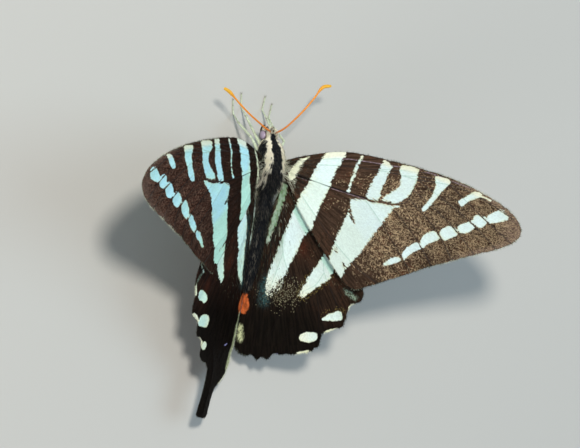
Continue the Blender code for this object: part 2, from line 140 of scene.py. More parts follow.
def addNoise(tree, place, size, detail, roughness=0.5):
    given = {"Vector": place, "Scale": perMetre(size), "Detail": detail, "Roughness": roughness}
    return addNode(tree, "ShaderNodeTexNoise", given).outputs["Fac"]


def addCells(tree, place, size):
    return addNode(tree, "ShaderNodeTexVoronoi", {"Vector": place, "Scale": perMetre(size)}).outputs


def flatCells(tree, place):
    given = {"Vector": place, "Scale": 1.0}
    return addNode(tree, "ShaderNodeTexVoronoi", given, voronoi_dimensions="2D").outputs


def flatNoise(tree, place, scale, detail):
    return addNode(tree, "ShaderNodeTexNoise", {"Vector": place, "Scale": scale, "Detail": detail}).outputs


def colourRamp(tree, share, stops):
    ramp = addNode(tree, "ShaderNodeValToRGB", {"Fac": share})
    elements = ramp.color_ramp.elements
    for index, (position, code) in ((0, stops[0]), (1, stops[-1])):
        elements[index].position = position
        elements[index].color = linearColour(code)
    for position, code in stops[1:-1]:
        elements.new(position).color = linearColour(code)
    return ramp.outputs["Color"]


def addBump(tree, shader, height, strength, depth):
    given = {"Height": height, "Strength": strength, "Distance": depth * mm}
    tree.links.new(addNode(tree, "ShaderNodeBump", given).outputs["Normal"], shader.inputs["Normal"])


def setFinish(shader, values):
    for socket, value in values.items():
        shader.inputs[socket].default_value = value


def newMaterial(name):
    material = bpy.data.materials.new(name)
    material.use_nodes = True
    tree = material.node_tree
    return material, tree, tree.nodes["Principled BSDF"]


def finishPiece(piece, nodes=()):
    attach(piece, "root")
    if nodes:
        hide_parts(*nodes)


def addObject(name, data):
    thing = bpy.data.objects.new(name, data)
    bpy.context.scene.collection.objects.link(thing)
    return thing


def meshPiece(name, verts, faces, material):
    mesh = bpy.data.meshes.new(name)
    mesh.from_pydata([tuple(vert) for vert in verts], [], [tuple(face) for face in faces])
    mesh.shade_smooth()
    mesh.materials.append(material)
    return addObject(name, mesh)


def settledMesh(source, name):  # the plain mesh that an object's modifiers make
    bpy.context.view_layer.update()
    made = bpy.data.meshes.new_from_object(source.evaluated_get(bpy.context.evaluated_depsgraph_get()))
    bpy.data.objects.remove(source, do_unlink=True)
    made.name = name
    made.shade_smooth()
    return made


def addFloats(mesh, name, values):
    layer = mesh.attributes.new(name, "FLOAT", "POINT")
    layer.data.foreach_set("value", np.asarray(values, np.float32))


def addVectors(mesh, name, values):
    layer = mesh.attributes.new(name, "FLOAT_VECTOR", "POINT")
    layer.data.foreach_set("vector", np.asarray(values, np.float32).ravel())


def smoothLine(points, step, closed=False):
    knots = [Vector(point) for point in points]
    count = len(knots)
    line = []
    for index in range(count if closed else count - 1):
        if closed:
            before, start, end, after = (knots[(index + shift) % count] for shift in (-1, 0, 1, 2))
        else:
            start, end = knots[index], knots[index + 1]
            before = knots[index - 1] if index else start * 2 - end
            after = knots[index + 2] if index + 2 < count else end * 2 - start
        pieces = max(1, round((end - start).length / step))
        for piece in range(pieces):
            part = piece / pieces
            square, cube = part * part, part * part * part
            held = start * (2 * cube - 3 * square + 1) + (end - before) * 0.5 * (cube - 2 * square + part)
            line.append(held + end * (3 * square - 2 * cube) + (after - start) * 0.5 * (cube - square))
    if not closed:
        line.append(knots[-1])
    return line


def smoothStep(values, low, high):
    share = np.clip((values - low) / (high - low), 0.0, 1.0)
    return share * share * (3 - 2 * share)


# Distances over the flat wing, in millimetres

def lineDistance(places, lines):
    best = np.full(len(places), 1e9)
    for line in lines:
        starts = np.array([tuple(point) for point in line[:-1]])
        runs = np.array([tuple(point) for point in line[1:]]) - starts
        lengths = np.maximum((runs ** 2).sum(1), 1e-12)
        for start, run, length in zip(starts, runs, lengths):
            offset = places - start
            share = np.clip(offset @ run / length, 0.0, 1.0)
            gap = offset - share[:, None] * run
            np.minimum(best, np.einsum("ij,ij->i", gap, gap), out=best)
    return np.sqrt(best)


def closedLine(loop):
    return [loop + loop[:1]]


def insideLoop(places, loop):
    inside = np.zeros(len(places), bool)
    for first, second in zip(loop, loop[1:] + loop[:1]):
        crosses = (first[1] > places[:, 1]) != (second[1] > places[:, 1])
        if abs(second[1] - first[1]) < 1e-12:
            continue
        reach = first[0] + (places[:, 1] - first[1]) / (second[1] - first[1]) * (second[0] - first[0])
        inside ^= crosses & (places[:, 0] < reach)
    return inside


def patchDepth(places, patches, strokes):  # how far inside the nearest patch a place is, below 0 outside
    depth = np.full(len(places), -1e3)
    for patch in patches.values():
        loop = smoothLine(patch, 0.35, closed=True)
        away = lineDistance(places, closedLine(loop))
        away[~insideLoop(places, loop)] *= -1
        np.maximum(depth, away, out=depth)
    for line, halfWidth in strokes.values():
        np.maximum(depth, halfWidth - lineDistance(places, [smoothLine(line, 0.5)]), out=depth)
    return depth


# Hair: one Geometry Nodes tree sows tufts over a skin whose attributes say how many, how long and which way

def makeFurMaterial(name, pale, dark, middle):
    # fine soft hair: satin, darker at the root as painted shade between the hairs, in strands of slightly
    # different tone
    material, tree, shader = newMaterial(name)
    stretched = moveVector(tree, "MULTIPLY", objectPlace(tree), (1.0, 0.35, 1.0))
    strand = addNoise(tree, stretched, 0.3, 3.0)
    luck = mapRange(tree, readLabel(tree, "tuftLuck"), 0.0, 1.0, -0.16, 0.2, False)
    share = calculate(tree, "ADD", readLabel(tree, "hairTone"), luck)
    hue = colourRamp(tree, share, ((0.12, dark), (0.42, middle), (0.74, pale)))
    tone = calculate(tree, "MULTIPLY_ADD", readLabel(tree, "along"), 0.35, strand)
    colour = scaleVector(tree, hue, mapRange(tree, tone, 0.25, 0.5, 0.78, 1.0, False))
    tree.links.new(colour, shader.inputs["Base Color"])
    tree.links.new(colour, shader.inputs["Sheen Tint"])
    setFinish(shader, {
        "Sheen Weight": 1.0,
        "Sheen Roughness": 0.6,
        "Roughness": 0.45,
        "Specular IOR Level": 0.2,
        "Specular Tint": linearColour("#DCE8F4"),
        "Subsurface Weight": 0.1,
        "Subsurface Radius": (0.4 * mm, 0.34 * mm, 0.26 * mm),
    })
    return material


def bladeObject():
    # one tuft of hair: a thin three-sided blade that bends over towards its tip
    rows = ((0.0, 0.5, 0.0), (0.35, 0.46, 0.03), (0.7, 0.3, 0.12))
    verts, faces, along = [], [], []
    for height, width, lean in rows:
        for corner in range(3):
            angle = 2 * math.pi * corner / 3
            verts.append((lean + math.cos(angle) * width * 0.5, math.sin(angle) * width, height))
            along.append(height)
    verts.append((0.26, 0.0, 1.0))
    along.append(1.0)
    for row in range(2):
        for corner in range(3):
            a, b = row * 3 + corner, row * 3 + (corner + 1) % 3
            faces.append((a, b, b + 3, a + 3))
    for corner in range(3):
        faces.append((6 + corner, 6 + (corner + 1) % 3, 9))
    faces.append((2, 1, 0))
    mesh = bpy.data.meshes.new("tuftBlade")
    mesh.from_pydata(verts, [], faces)
    addFloats(mesh, "along", along)
    return bpy.data.objects.new("tuftBlade", mesh)


def coatTree(name, kind, material):
    tree = bpy.data.node_groups.new(name, "GeometryNodeTree")
    face = tree.interface
    face.new_socket("Geometry", in_out="INPUT", socket_type="NodeSocketGeometry")
    for label in ("Tufts per square metre", "Tuft width", "Tuft length", "Lift", "Scatter", "Clump"):
        face.new_socket(label, in_out="INPUT", socket_type="NodeSocketFloat")
    face.new_socket("Seed", in_out="INPUT", socket_type="NodeSocketInt")
    face.new_socket("Geometry", in_out="OUTPUT", socket_type="NodeSocketGeometry")
    given = addNode(tree, "NodeGroupInput").outputs

    def named(label, form="FLOAT"):
        given = {"Name": kind + label}
        return addNode(tree, "GeometryNodeInputNamedAttribute", given, data_type=form).outputs[0]

    def drawn(low, high, seed):
        given = {2: low, 3: high, "Seed": seed}
        return addNode(tree, "FunctionNodeRandomValue", given, data_type="FLOAT").outputs[1]

    times = partial(calculate, tree, "MULTIPLY")
    plus = partial(moveVector, tree, "ADD")
    stretched = partial(scaleVector, tree)

    points = addNode(tree, "GeometryNodeDistributePointsOnFaces", {
        "Mesh": given["Geometry"], "Density": times(named("Density"), given["Tufts per square metre"]),
        "Seed": given["Seed"]}, distribute_method="RANDOM")
    normal = points.outputs["Normal"]
    corners = {0: (-1.0, -1.0, -1.0), 1: (1.0, 1.0, 1.0), "Seed": given["Seed"]}
    loose = addNode(tree, "FunctionNodeRandomValue", corners, data_type="FLOAT_VECTOR").outputs[0]
    drift = addNode(tree, "ShaderNodeTexNoise", {"Scale": perMetre(0.7), "Detail": 1.0}).outputs["Color"]
    drift = plus(drift, (-0.5, -0.5, -0.5))
    aim = plus(named("Lie", "FLOAT_VECTOR"), stretched(normal, given["Lift"]))
    aim = plus(aim, stretched(loose, given["Scatter"]))
    aim = plus(aim, stretched(drift, times(given["Clump"], 3.0)))
    turned = addNode(tree, "FunctionNodeAlignRotationToVector", {"Vector": aim}, axis="Z").outputs[0]
    turned = addNode(tree, "FunctionNodeAlignRotationToVector", {
        "Rotation": turned, "Vector": stretched(normal, -1.0)}, axis="X", pivot_axis="Z").outputs[0]
    tall = times(times(named("Length"), given["Tuft length"]), drawn(0.55, 1.25, given["Seed"]))
    wide = times(given["Tuft width"], drawn(0.6, 1.5, 31))
    size = addNode(tree, "ShaderNodeCombineXYZ", {0: wide, 1: wide, 2: tall}).outputs[0]
    source = addNode(tree, "GeometryNodeObjectInfo", {"Object": blade}).outputs["Geometry"]
    spread = addNode(tree, "GeometryNodeInstanceOnPoints", {
        "Points": points.outputs["Points"], "Instance": source, "Rotation": turned, "Scale": size}).outputs[0]
    for label, value in (("tuftLuck", drawn(0.0, 1.0, 77)), ("hairTone", named("Tone"))):
        stored = {"Geometry": spread, "Name": label, "Value": value}
        spread = addNode(tree, "GeometryNodeStoreNamedAttribute", stored, data_type="FLOAT",
                         domain="INSTANCE").outputs[0]
    real = addNode(tree, "GeometryNodeRealizeInstances", {"Geometry": spread}).outputs[0]
    real = addNode(tree, "GeometryNodeSetMaterial", {"Geometry": real, "Material": material}).outputs[0]
    addNode(tree, "NodeGroupOutput", {"Geometry": real})
    return tree


coatLabels = ("position", "sharp_face", "material_index", "tuftLuck", "hairTone", "along", "OFBake")


def growCoat(name, base, kind, settings, material):
    tree = coatTree(name + "Tree", kind, material)
    holder = addObject(name + "Holder", base.data)
    grower = holder.modifiers.new("coat", "NODES")
    grower.node_group = tree
    sockets = {item.name: item.identifier for item in tree.interface.items_tree if item.in_out == "INPUT"}
    for label, value in settings.items():
        grower[sockets[label]] = value
    made = settledMesh(holder, name)
    addBakeMap(made)
    for label in [layer.name for layer in made.attributes]:
        if label not in coatLabels and not label.startswith("."):
            made.attributes.remove(made.attributes[label])
    finishPiece(addObject(name, made))
    print("coat", name, len(made.polygons), "faces")


def addBakeMap(mesh):  # each tuft is a small patch at its root's place on the skin's own unwrap
    count = len(mesh.vertices)
    root = np.zeros(count * 3, np.float32)
    mesh.attributes["rootPlace"].data.foreach_get("vector", root)
    along = np.zeros(count, np.float32)
    mesh.attributes["along"].data.foreach_get("value", along)
    patch = root.reshape(-1, 3)[:, :2].copy()
    patch[:, 1] += along * 0.003
    patch[:, 0] += (np.arange(count) % 3) * 0.001
    corners = np.zeros(len(mesh.loops), np.int32)
    mesh.loops.foreach_get("vertex_index", corners)
    if "OFBake" in mesh.uv_layers:
        mesh.uv_layers.remove(mesh.uv_layers["OFBake"])
    layer = mesh.uv_layers.new(name="OFBake")
    layer.data.foreach_set("uv", patch[corners].ravel())


blade = bladeObject()


# Wings, drawn flat in millimetres: span outwards, then forwards

forewing = {
    "thickness": 0.12,
    "camber": 0.8,
    "marginStart": (43.9, -7.0),
    "marginInwards": (-0.421, 0.907),
    "marginCurl": 0.65,
    "marginReach": 4.5,
    "gridStep": 0.2,
    "rim": (
        (1.0, 0.9), (3.0, 1.3), (4.6, 1.9), (6.9, 2.6), (10.0, 3.4), (13.3, 3.8), (17.0, 3.6), (22.0, 3.0),
        (27.3, 2.2), (31.0, 1.4), (34.4, 0.4), (38.0, -1.0), (40.8, -2.4), (42.8, -4.0), (43.9, -5.7),
        (43.9, -7.0), (43.0, -8.2), (41.2, -9.3), (38.6, -10.4), (35.6, -11.5), (32.2, -12.9),
        (28.8, -14.2), (25.4, -15.8), (22.3, -17.2), (19.4, -18.5), (17.2, -19.4), (15.9, -19.1),
        (14.4, -17.9), (11.6, -14.6), (7.9, -9.9), (5.3, -6.2), (3.6, -3.0), (2.4, -1.9), (1.0, -1.5),
    ),
    "veins": {
        "subcosta": ((1.5, 0.4), (3.2, 0.9), (12.3, 2.5), (20.7, 2.3), (24.5, 2.6)),
        "radius": ((1.5, 0.0), (3.2, 0.4), (12.0, 1.3), (20.0, 1.2), (25.2, 0.5), (31.0, 0.2), (36.0, -1.2),
                   (42.6, -4.4)),
        "radius1": ((16.5, 1.3), (22.0, 1.7), (28.5, 1.8)),
        "radius2": ((23.0, 0.9), (28.0, 1.0), (34.0, 0.4)),
        "radius5": ((31.0, 0.2), (37.8, -5.1), (42.6, -8.5)),
        "media1": ((25.2, 0.5), (31.0, -2.9), (35.9, -6.2), (40.2, -9.9)),
        "media2": ((24.7, -1.3), (29.5, -4.6), (33.1, -7.6), (36.6, -11.3)),
        "media3": ((24.3, -3.0), (28.0, -6.2), (30.3, -8.8), (33.0, -12.8)),
        "cubitus1": ((20.6, -4.0), (24.6, -7.8), (27.3, -10.9), (29.5, -14.1)),
        "cubitus2": ((16.6, -3.7), (19.6, -7.1), (24.3, -13.1), (26.0, -15.6)),
        "anal": ((2.0, -0.8), (3.2, -1.2), (7.6, -6.4), (12.5, -11.8), (17.0, -15.8), (20.8, -18.0)),
        "cubitalStem": ((1.5, -0.3), (3.2, -0.5), (6.9, -1.5), (10.6, -2.5), (17.0, -3.7), (20.6, -4.0),
                        (23.4, -3.8), (24.3, -3.0)),
        "cellEnd": ((25.2, 0.5), (24.7, -1.3), (24.3, -3.0)),
    },
    "pale": {
        "bandA": (
            (10.0, 3.6), (8.4, 1.7), (7.5, -0.4), (6.7, -2.5), (5.8, -4.3), (5.2, -7.2), (6.6, -9.0),
            (8.2, -10.4), (8.8, -8.0), (9.6, -5.4), (10.5, -2.7), (11.3, 0.0), (12.2, 2.2), (12.8, 4.0),
        ),
        "cellBand": (
            (19.3, 3.1), (18.5, 1.0), (17.5, -1.2), (17.0, -3.5), (18.2, -3.8), (19.2, -3.6), (19.6, -1.5),
            (20.3, 0.9), (20.8, 2.3),
        ),
        "cellTip": (
            (22.3, 2.6), (22.5, 0.4), (22.2, -1.1), (20.9, -2.3), (19.7, -3.5), (21.2, -3.9), (22.6, -3.8),
            (24.1, -2.5), (25.0, -0.6), (25.3, 1.2), (25.2, 2.4),
        ),
        "beyondCell": (
            (28.4, 1.4), (28.5, -0.2), (27.9, -2.3), (26.7, -4.2), (27.1, -4.8), (28.5, -3.0), (29.7, -1.1),
            (30.6, 0.0), (30.9, 1.1),
        ),
        "tipBar": ((35.5, -0.3), (34.1, -1.2), (32.7, -2.4), (33.5, -3.2), (34.4, -2.2), (36.4, -1.2),
                   (36.6, -0.6)),
        "mainBand": (
            (14.4, -4.2), (14.4, -5.8), (13.8, -7.6), (13.1, -9.6), (12.4, -12.3), (11.9, -14.6),
            (12.4, -15.6), (14.2, -17.9), (14.9, -16.3), (16.5, -14.0), (17.7, -12.0), (19.0, -9.8),
            (20.5, -7.3), (21.8, -5.0), (22.9, -4.4), (20.0, -4.4), (17.0, -4.1),
        ),
        "spot1": ((38.0, -4.3), (39.0, -3.6), (40.2, -2.9), (41.2, -3.6), (41.5, -4.3), (40.4, -4.9),
                  (38.8, -5.4), (38.1, -5.2)),
        "spot2": ((35.6, -4.7), (36.6, -4.3), (37.7, -4.6), (38.0, -5.3), (37.3, -6.2), (36.7, -6.4),
                  (36.0, -5.8)),
        "spot3": ((33.2, -6.6), (34.6, -5.8), (35.7, -5.3), (36.0, -6.4), (34.9, -7.4), (33.6, -7.6)),
        "spot4": ((30.2, -8.1), (30.8, -7.2), (32.0, -6.7), (33.0, -7.2), (33.1, -8.1), (32.0, -8.8),
                  (31.1, -9.2)),
        "spot5": ((27.1, -9.8), (27.8, -8.6), (29.2, -8.0), (30.3, -8.9), (29.2, -9.7), (28.2, -10.3),
                  (27.6, -10.9)),
        "spot6": ((24.2, -12.8), (24.7, -11.6), (25.8, -10.6), (26.8, -10.2), (27.4, -11.0), (26.2, -11.8),
                  (25.2, -12.6), (24.7, -13.4)),
        "spot7": ((21.2, -14.7), (22.2, -13.6), (23.3, -13.1), (24.2, -13.3), (23.6, -13.9), (22.3, -14.5)),
    },
    "paleLines": {
        "thinBand": (((15.5, 3.3), (14.9, 2.0), (14.6, 0.5), (14.2, -0.9), (13.8, -3.0)), 0.24),
        "costaLine": (((36.2, -1.0), (37.4, -1.3), (38.2, -1.6)), 0.14),
    },
    "rootLeaf": (
        (6.55, 2.15), (6.1, 2.2), (5.2, 1.7), (4.4, 1.0), (3.8, 0.15), (3.4, -0.7), (3.3, -1.6),
        (3.7, -2.3), (4.3, -1.8), (4.9, -1.0), (5.0, -0.2), (5.3, 0.6), (6.0, 1.45),
    ),
    # painted sheen, lilac, along the costa and the cubital stem
    "sheenVeins": {
        "front": (((11.6, 2.45), (14.0, 2.6), (20.7, 2.35), (27.0, 1.9), (34.5, 0.1)), 0.07),
        "stem": (((10.9, -2.72), (14.0, -3.36), (16.6, -3.86)), 0.07),
        "stemRoot": (((4.6, -1.38), (6.6, -1.85)), 0.05),
    },
    "darkSpurs": {
        "upper": (((14.2, -5.5), (14.7, -6.8), (15.4, -8.0)), 0.15),
        "lower": (((12.3, -12.1), (12.6, -12.6), (13.0, -13.4)), 0.12),
        "tip": (((14.3, -15.0), (14.9, -16.2)), 0.1),
    },
    "darkSpursLeft": {
        "upper": (((14.2, -5.9), (14.6, -6.8), (15.3, -7.5)), 0.15),
        "lower": (((12.6, -14.0), (13.4, -14.9), (14.2, -15.4)), 0.12),
    },
    "stemRight": {
        "root": (((4.6, -1.2), (6.0, -1.5), (7.2, -1.75)), 0.17),
        "band": (((7.0, -1.7), (8.8, -2.1), (10.6, -2.5)), 0.05),
        "outer": (((10.4, -2.45), (13.0, -3.0), (17.2, -3.72)), 0.12),
    },
    "stemLeft": {"whole": (((3.2, -0.5), (7.0, -1.6), (10.6, -2.5), (17.0, -3.75)), 0.07)},
    "paleLeft": {
        "bandA": (
            (12.8, 4.0), (12.2, 2.6), (11.5, 1.3), (11.2, 0.0), (10.7, -1.3), (10.2, -3.0), (9.7, -5.0),
            (9.4, -6.7), (9.2, -8.3), (8.9, -9.9), (7.4, -9.6), (5.2, -7.2), (5.7, -6.5), (6.3, -5.0),
            (6.8, -3.0), (7.2, -1.3), (7.7, 0.0), (8.7, 1.7), (9.5, 2.8), (10.4, 4.0),
        ),
        "cellBand": (
            (20.9, 3.2), (20.7, 1.7), (20.5, 0.3), (20.0, -1.3), (19.5, -2.7), (19.2, -3.6), (18.2, -3.7),
            (17.3, -3.5), (17.5, -2.3), (18.0, -1.0), (18.5, 0.3), (18.9, 2.0), (19.1, 3.2),
        ),
        "cellTip": (
            (25.5, 2.4), (25.3, 1.0), (25.1, 0.0), (24.9, -1.3), (24.3, -2.3), (23.7, -3.2), (22.9, -3.7),
            (20.3, -3.6), (20.5, -2.7), (21.3, -2.0), (22.3, -1.2), (22.8, -0.2), (22.6, 0.7), (21.8, 1.6),
            (22.2, 2.8),
        ),
        "beyondCell": (
            (31.1, 1.2), (30.8, 0.0), (30.3, -1.2), (29.7, -2.3), (29.0, -3.7), (28.3, -4.3), (27.2, -4.4),
            (27.1, -3.8), (27.7, -2.7), (28.2, -1.3), (28.4, 0.0), (28.4, 1.5),
        ),
        "tipBar": ((36.6, -0.6), (35.8, -1.3), (35.0, -2.2), (34.2, -2.8), (33.3, -2.6), (33.6, -1.8),
                   (34.3, -1.0), (35.4, -0.4)),
        "mainBand": (
            (24.0, -4.1), (20.7, -4.3), (17.3, -4.1), (15.3, -4.1), (14.5, -4.5), (14.4, -5.8),
            (14.3, -7.2), (13.8, -9.0), (13.2, -11.0), (12.7, -12.7), (12.4, -14.0), (12.6, -15.6),
            (14.2, -17.7), (15.8, -17.4), (16.2, -15.3), (16.8, -13.7), (17.3, -12.3), (18.0, -11.3),
            (19.3, -9.7), (20.5, -7.7), (21.0, -6.5), (22.7, -5.2),
        ),
        "spot1": ((41.2, -3.5), (40.3, -3.0), (39.0, -3.5), (38.0, -4.4), (38.2, -5.1), (39.7, -5.0),
                  (41.0, -4.4)),
        "spot2": ((37.7, -4.5), (36.8, -4.1), (35.9, -4.3), (35.7, -5.0), (36.2, -6.0), (37.2, -6.0),
                  (37.8, -5.2)),
        "spot3": ((35.5, -5.3), (34.5, -5.3), (33.2, -6.2), (33.4, -7.3), (34.3, -7.5), (35.4, -6.7),
                  (35.7, -6.0)),
        "spot4": ((32.8, -7.0), (31.8, -6.7), (30.7, -7.2), (30.4, -7.9), (31.0, -8.8), (31.8, -8.8),
                  (32.8, -8.0)),
        "spot5": ((30.0, -8.2), (29.0, -7.9), (28.0, -8.5), (27.3, -9.5), (27.7, -10.6), (28.5, -10.2),
                  (29.5, -9.4)),
        "spot6": ((27.2, -10.3), (26.3, -10.2), (25.3, -10.7), (24.2, -11.7), (23.8, -12.4), (24.2, -12.8),
                  (25.2, -12.2), (26.4, -11.4)),
        "spot7": ((23.6, -12.9), (22.7, -12.8), (21.5, -13.3), (20.7, -14.3), (20.1, -15.1), (20.6, -15.2),
                  (21.5, -14.4), (22.7, -13.7)),
    },
    "paleLinesLeft": {
        "thinTop": (((15.6, 3.3), (15.0, 2.0), (14.8, 1.1)), 0.28),
        "thinBand": (((14.9, 1.3), (14.6, -0.3), (14.3, -1.7), (13.8, -2.8)), 0.2),
        "thinFoot": (((14.1, -2.3), (13.7, -2.9)), 0.3),
        "root": (((6.0, 2.1), (4.9, 0.6), (4.2, -1.0), (3.8, -2.6), (3.6, -4.4)), 0.24),
    },
}
hindwingFront = (
    (1.0, -1.9), (3.2, -1.9), (6.0, -2.9), (9.5, -5.6), (13.0, -9.6), (16.0, -14.2), (17.9, -18.2),
    (18.5, -20.0), (18.2, -21.3), (16.8, -22.3), (16.2, -23.2), (16.0, -24.9), (15.5, -26.1), (14.2, -26.9),
    (12.5, -27.7), (12.1, -28.8), (11.9, -29.9),
)
hindwingInner = (
    (-2.4, -31.4), (-2.28, -29.0), (-2.1, -26.0), (-1.92, -23.8), (-1.82, -22.6), (-1.6, -20.8),
    (-1.1, -18.2), (-0.5, -14.6), (0.4, -10.0), (1.6, -6.0), (2.0, -4.4), (1.0, -4.2),
)
hindwing = {
    "thickness": 0.12,
    "gridStep": 0.2,
    "lap": 1.15,
    "droop": 0.115,
    "droopStart": -8.0,
    "cornerStart": 13.0,
    "cornerCurl": 0.036,
    "brokenTail": (
        (11.0, -30.8), (9.4, -31.4), (7.2, -31.9), (5.4, -32.1), (4.2, -32.3), (3.4, -33.2), (2.5, -32.8),
        (1.6, -33.5), (0.9, -32.8), (-0.4, -32.9), (-1.4, -32.8), (-1.9, -32.3),
    ),
    "wholeTail": (
        (10.9, -30.5), (9.3, -30.9), (8.9, -32.1), (8.5, -33.6), (7.3, -34.5), (5.7, -35.0), (4.7, -36.1),
        (4.45, -38.4), (4.6, -41.0), (4.9, -43.4), (4.6, -44.0), (3.1, -44.3), (1.5, -44.2), (1.1, -43.5),
        (1.0, -41.0), (0.7, -39.0), (-0.5, -37.9), (-1.6, -36.6), (-2.3, -34.9), (-2.3, -33.2),
    ),
    "veins": {
        "frontEdge": ((1.5, -2.3), (3.2, -2.5), (6.0, -4.2), (10.5, -8.8), (14.5, -14.5), (17.8, -19.3)),
        "radius": ((6.0, -4.2), (9.0, -10.0), (12.6, -15.6), (15.6, -18.8), (18.2, -21.0)),
        "media1": ((11.0, -14.0), (11.4, -17.2), (14.0, -22.0), (15.9, -25.6)),
        "media2": ((10.2, -19.4), (11.3, -24.5), (11.8, -29.9)),
        "media3": ((8.2, -20.8), (7.4, -26.0), (5.0, -31.8)),
        "cubitus1": ((5.8, -18.6), (4.4, -25.5), (2.4, -32.2)),
        "cubitus2": ((4.0, -14.6), (2.0, -23.5), (0.4, -32.2)),
        "anal": ((3.0, -3.6), (2.6, -9.0), (1.8, -14.5), (0.9, -21.0), (-0.4, -27.0), (-1.0, -31.0)),
        "cellFoot": ((1.5, -2.8), (3.2, -3.0), (3.4, -9.0), (4.0, -14.6), (5.8, -18.6), (8.2, -20.8)),
        "cellEnd": ((11.4, -17.2), (10.2, -19.4), (8.2, -20.8)),
    },
    "tailVein": ((5.0, -31.8), (3.0, -36.5), (2.9, -43.6)),
    "pale": {
        "bandA": (
            (7.6, -5.0), (5.2, -6.2), (4.6, -8.6), (3.8, -11.3), (2.9, -14.3), (2.2, -17.0), (1.8, -19.2),
            (1.8, -21.2), (2.3, -22.2), (2.9, -21.4), (3.7, -20.0), (4.7, -18.6), (5.4, -16.4),
            (6.4, -14.2), (7.2, -11.5), (9.0, -8.6), (9.6, -6.8),
        ),
        "bandB": (
            (13.2, -11.4), (11.6, -13.2), (10.2, -15.6), (9.2, -17.3), (8.4, -19.2), (7.7, -21.1),
            (8.1, -21.9), (9.7, -20.5), (11.3, -19.2), (12.6, -17.8), (13.2, -15.8), (14.6, -13.8),
        ),
        "spot1": ((12.0, -25.3), (12.5, -24.5), (13.3, -24.0), (14.8, -23.4), (15.3, -23.9), (15.3, -24.9),
                  (13.6, -25.3)),
        "spot2": ((8.4, -28.9), (8.8, -28.1), (9.5, -27.7), (11.2, -27.6), (11.5, -28.2), (11.4, -28.9),
                  (10.2, -29.4), (9.0, -29.4)),
    },
    "innerWedge": (
        (2.5, -2.9), (3.3, -2.9), (3.5, -4.4), (2.9, -6.5), (2.4, -9.3), (1.8, -11.5), (1.3, -13.4),
        (0.95, -13.4), (1.1, -11.5), (1.4, -9.3), (1.9, -6.5), (2.3, -4.4),
    ),
    "paleLeft": {
        "bandA": (
            (4.5, -5.6), (4.6, -7.7), (3.6, -9.6), (2.8, -12.1), (2.2, -14.3), (1.5, -16.6), (0.9, -18.8),
            (0.4, -20.6), (0.6, -21.1), (1.4, -20.2), (2.6, -19.1), (3.6, -17.1), (4.4, -14.9),
            (5.3, -12.9), (5.9, -11.6), (6.4, -9.9), (7.0, -8.2), (7.4, -6.2),
        ),
        "bandB": (
            (9.3, -14.9), (8.7, -15.7), (8.1, -17.4), (7.5, -18.8), (7.1, -20.2), (7.4, -21.1),
            (8.1, -20.5), (8.9, -19.9), (9.7, -18.8), (10.6, -17.8), (11.3, -17.0), (12.5, -15.4),
            (11.4, -13.4), (10.2, -13.0),
        ),
        "spot1": (
            (14.7, -22.8), (14.0, -22.5), (12.8, -22.7), (11.7, -23.2), (11.3, -24.0), (11.7, -24.6),
            (12.5, -24.3), (13.6, -24.1), (14.6, -23.6),
        ),
        "spot2": (
            (11.7, -26.9), (10.4, -26.6), (9.2, -26.8), (8.6, -27.4), (8.6, -28.3), (9.0, -28.7),
            (10.6, -28.6), (11.9, -28.4), (12.0, -27.6),
        ),
        "spot3": ((7.2, -31.7), (7.9, -31.2), (8.6, -31.5), (8.6, -32.2), (7.9, -32.6), (7.3, -32.3)),
    },
    "paleLinesLeft": {
        "inner": (((1.9, -3.2), (1.5, -5.2), (1.45, -6.6), (1.45, -8.2), (1.25, -9.9), (1.05, -11.6),
                   (0.8, -12.9), (0.6, -13.9)), 0.22),
        "corner": (((17.2, -18.1), (15.8, -18.8), (14.6, -19.5)), 0.2),
    },
    "rustRight": ((7.4, -13.4),),
    "rustLeft": ((7.4, -12.3), (6.1, -17.4), (12.2, -21.6)),
    # painted teal shade beside the hindwing's inner pale band
    "hazeRight": ((1.7, -19.6), (1.4, -21.2), (1.7, -23.4)),
    "hazeLeft": ((3.3, -9.6), (2.4, -13.0), (1.3, -16.8), (0.1, -20.8)),
    "notches": {
        "first": (((16.9, -22.2), (16.6, -22.4), (16.4, -22.7)), 0.24),
        "second": (((14.4, -26.7), (13.6, -27.0), (12.9, -27.3)), 0.26),
        "third": (((10.3, -30.9), (9.4, -31.2), (8.4, -31.5)), 0.2),
    },
    "notchesLeft": {
        "first": (((17.0, -21.7), (16.3, -22.4), (15.9, -23.2)), 0.28),
        "second": (((14.2, -26.7), (13.2, -27.0), (12.4, -27.6)), 0.27),
        "third": (((10.4, -30.8), (9.5, -31.0), (8.9, -31.5)), 0.25),
    },
    "dull": ((15.2, -19.4), (16.6, -20.0), (17.6, -20.9), (16.9, -21.2), (15.6, -20.4)),
    "redSpot": ((-2.1, -22.1), (-1.35, -22.2), (-1.1, -22.9), (-0.8, -24.0), (-0.8, -24.9), (-1.15, -25.7),
                (-1.75, -25.9), (-2.3, -25.0)),
    "redSpotLeft": ((-2.1, -22.3), (-1.2, -22.4), (-0.7, -23.0), (-0.5, -24.2), (-0.8, -25.2), (-1.8, -25.9),
                    (-2.4, -24.6)),
    "redLine": ((10.4, -8.0), (8.4, -13.0), (6.6, -17.5), (5.0, -21.5), (2.6, -25.6)),
    "lilacRight": {"spot": (((4.85, -32.0), (5.2, -32.05)), 0.1)},
    "lilacLeft": {"spot": (((0.6, -31.3), (1.2, -31.5)), 0.12)},
    "analStreakRight": {"streak": (((-1.9, -28.2), (-1.75, -29.2), (-1.6, -30.2)), 0.5)},
    "analStreakLeft": {
        "edge": (((-2.1, -28.0), (-2.3, -31.4), (-2.3, -35.2)), 0.85),
        "stem": (((-1.75, -25.8), (-1.95, -27.4)), 0.3),
    },
    "dustCentre": (4.9, -21.4),
    "dustReach": (2.5, 2.2),
    # painted shadow, in shaded green, that the forewing's trailing edge casts on the hindwing
    "lapEdge": (((4.8, -6.6), (7.4, -10.3), (11.1, -15.0), (13.9, -18.2)), 0.5),
}


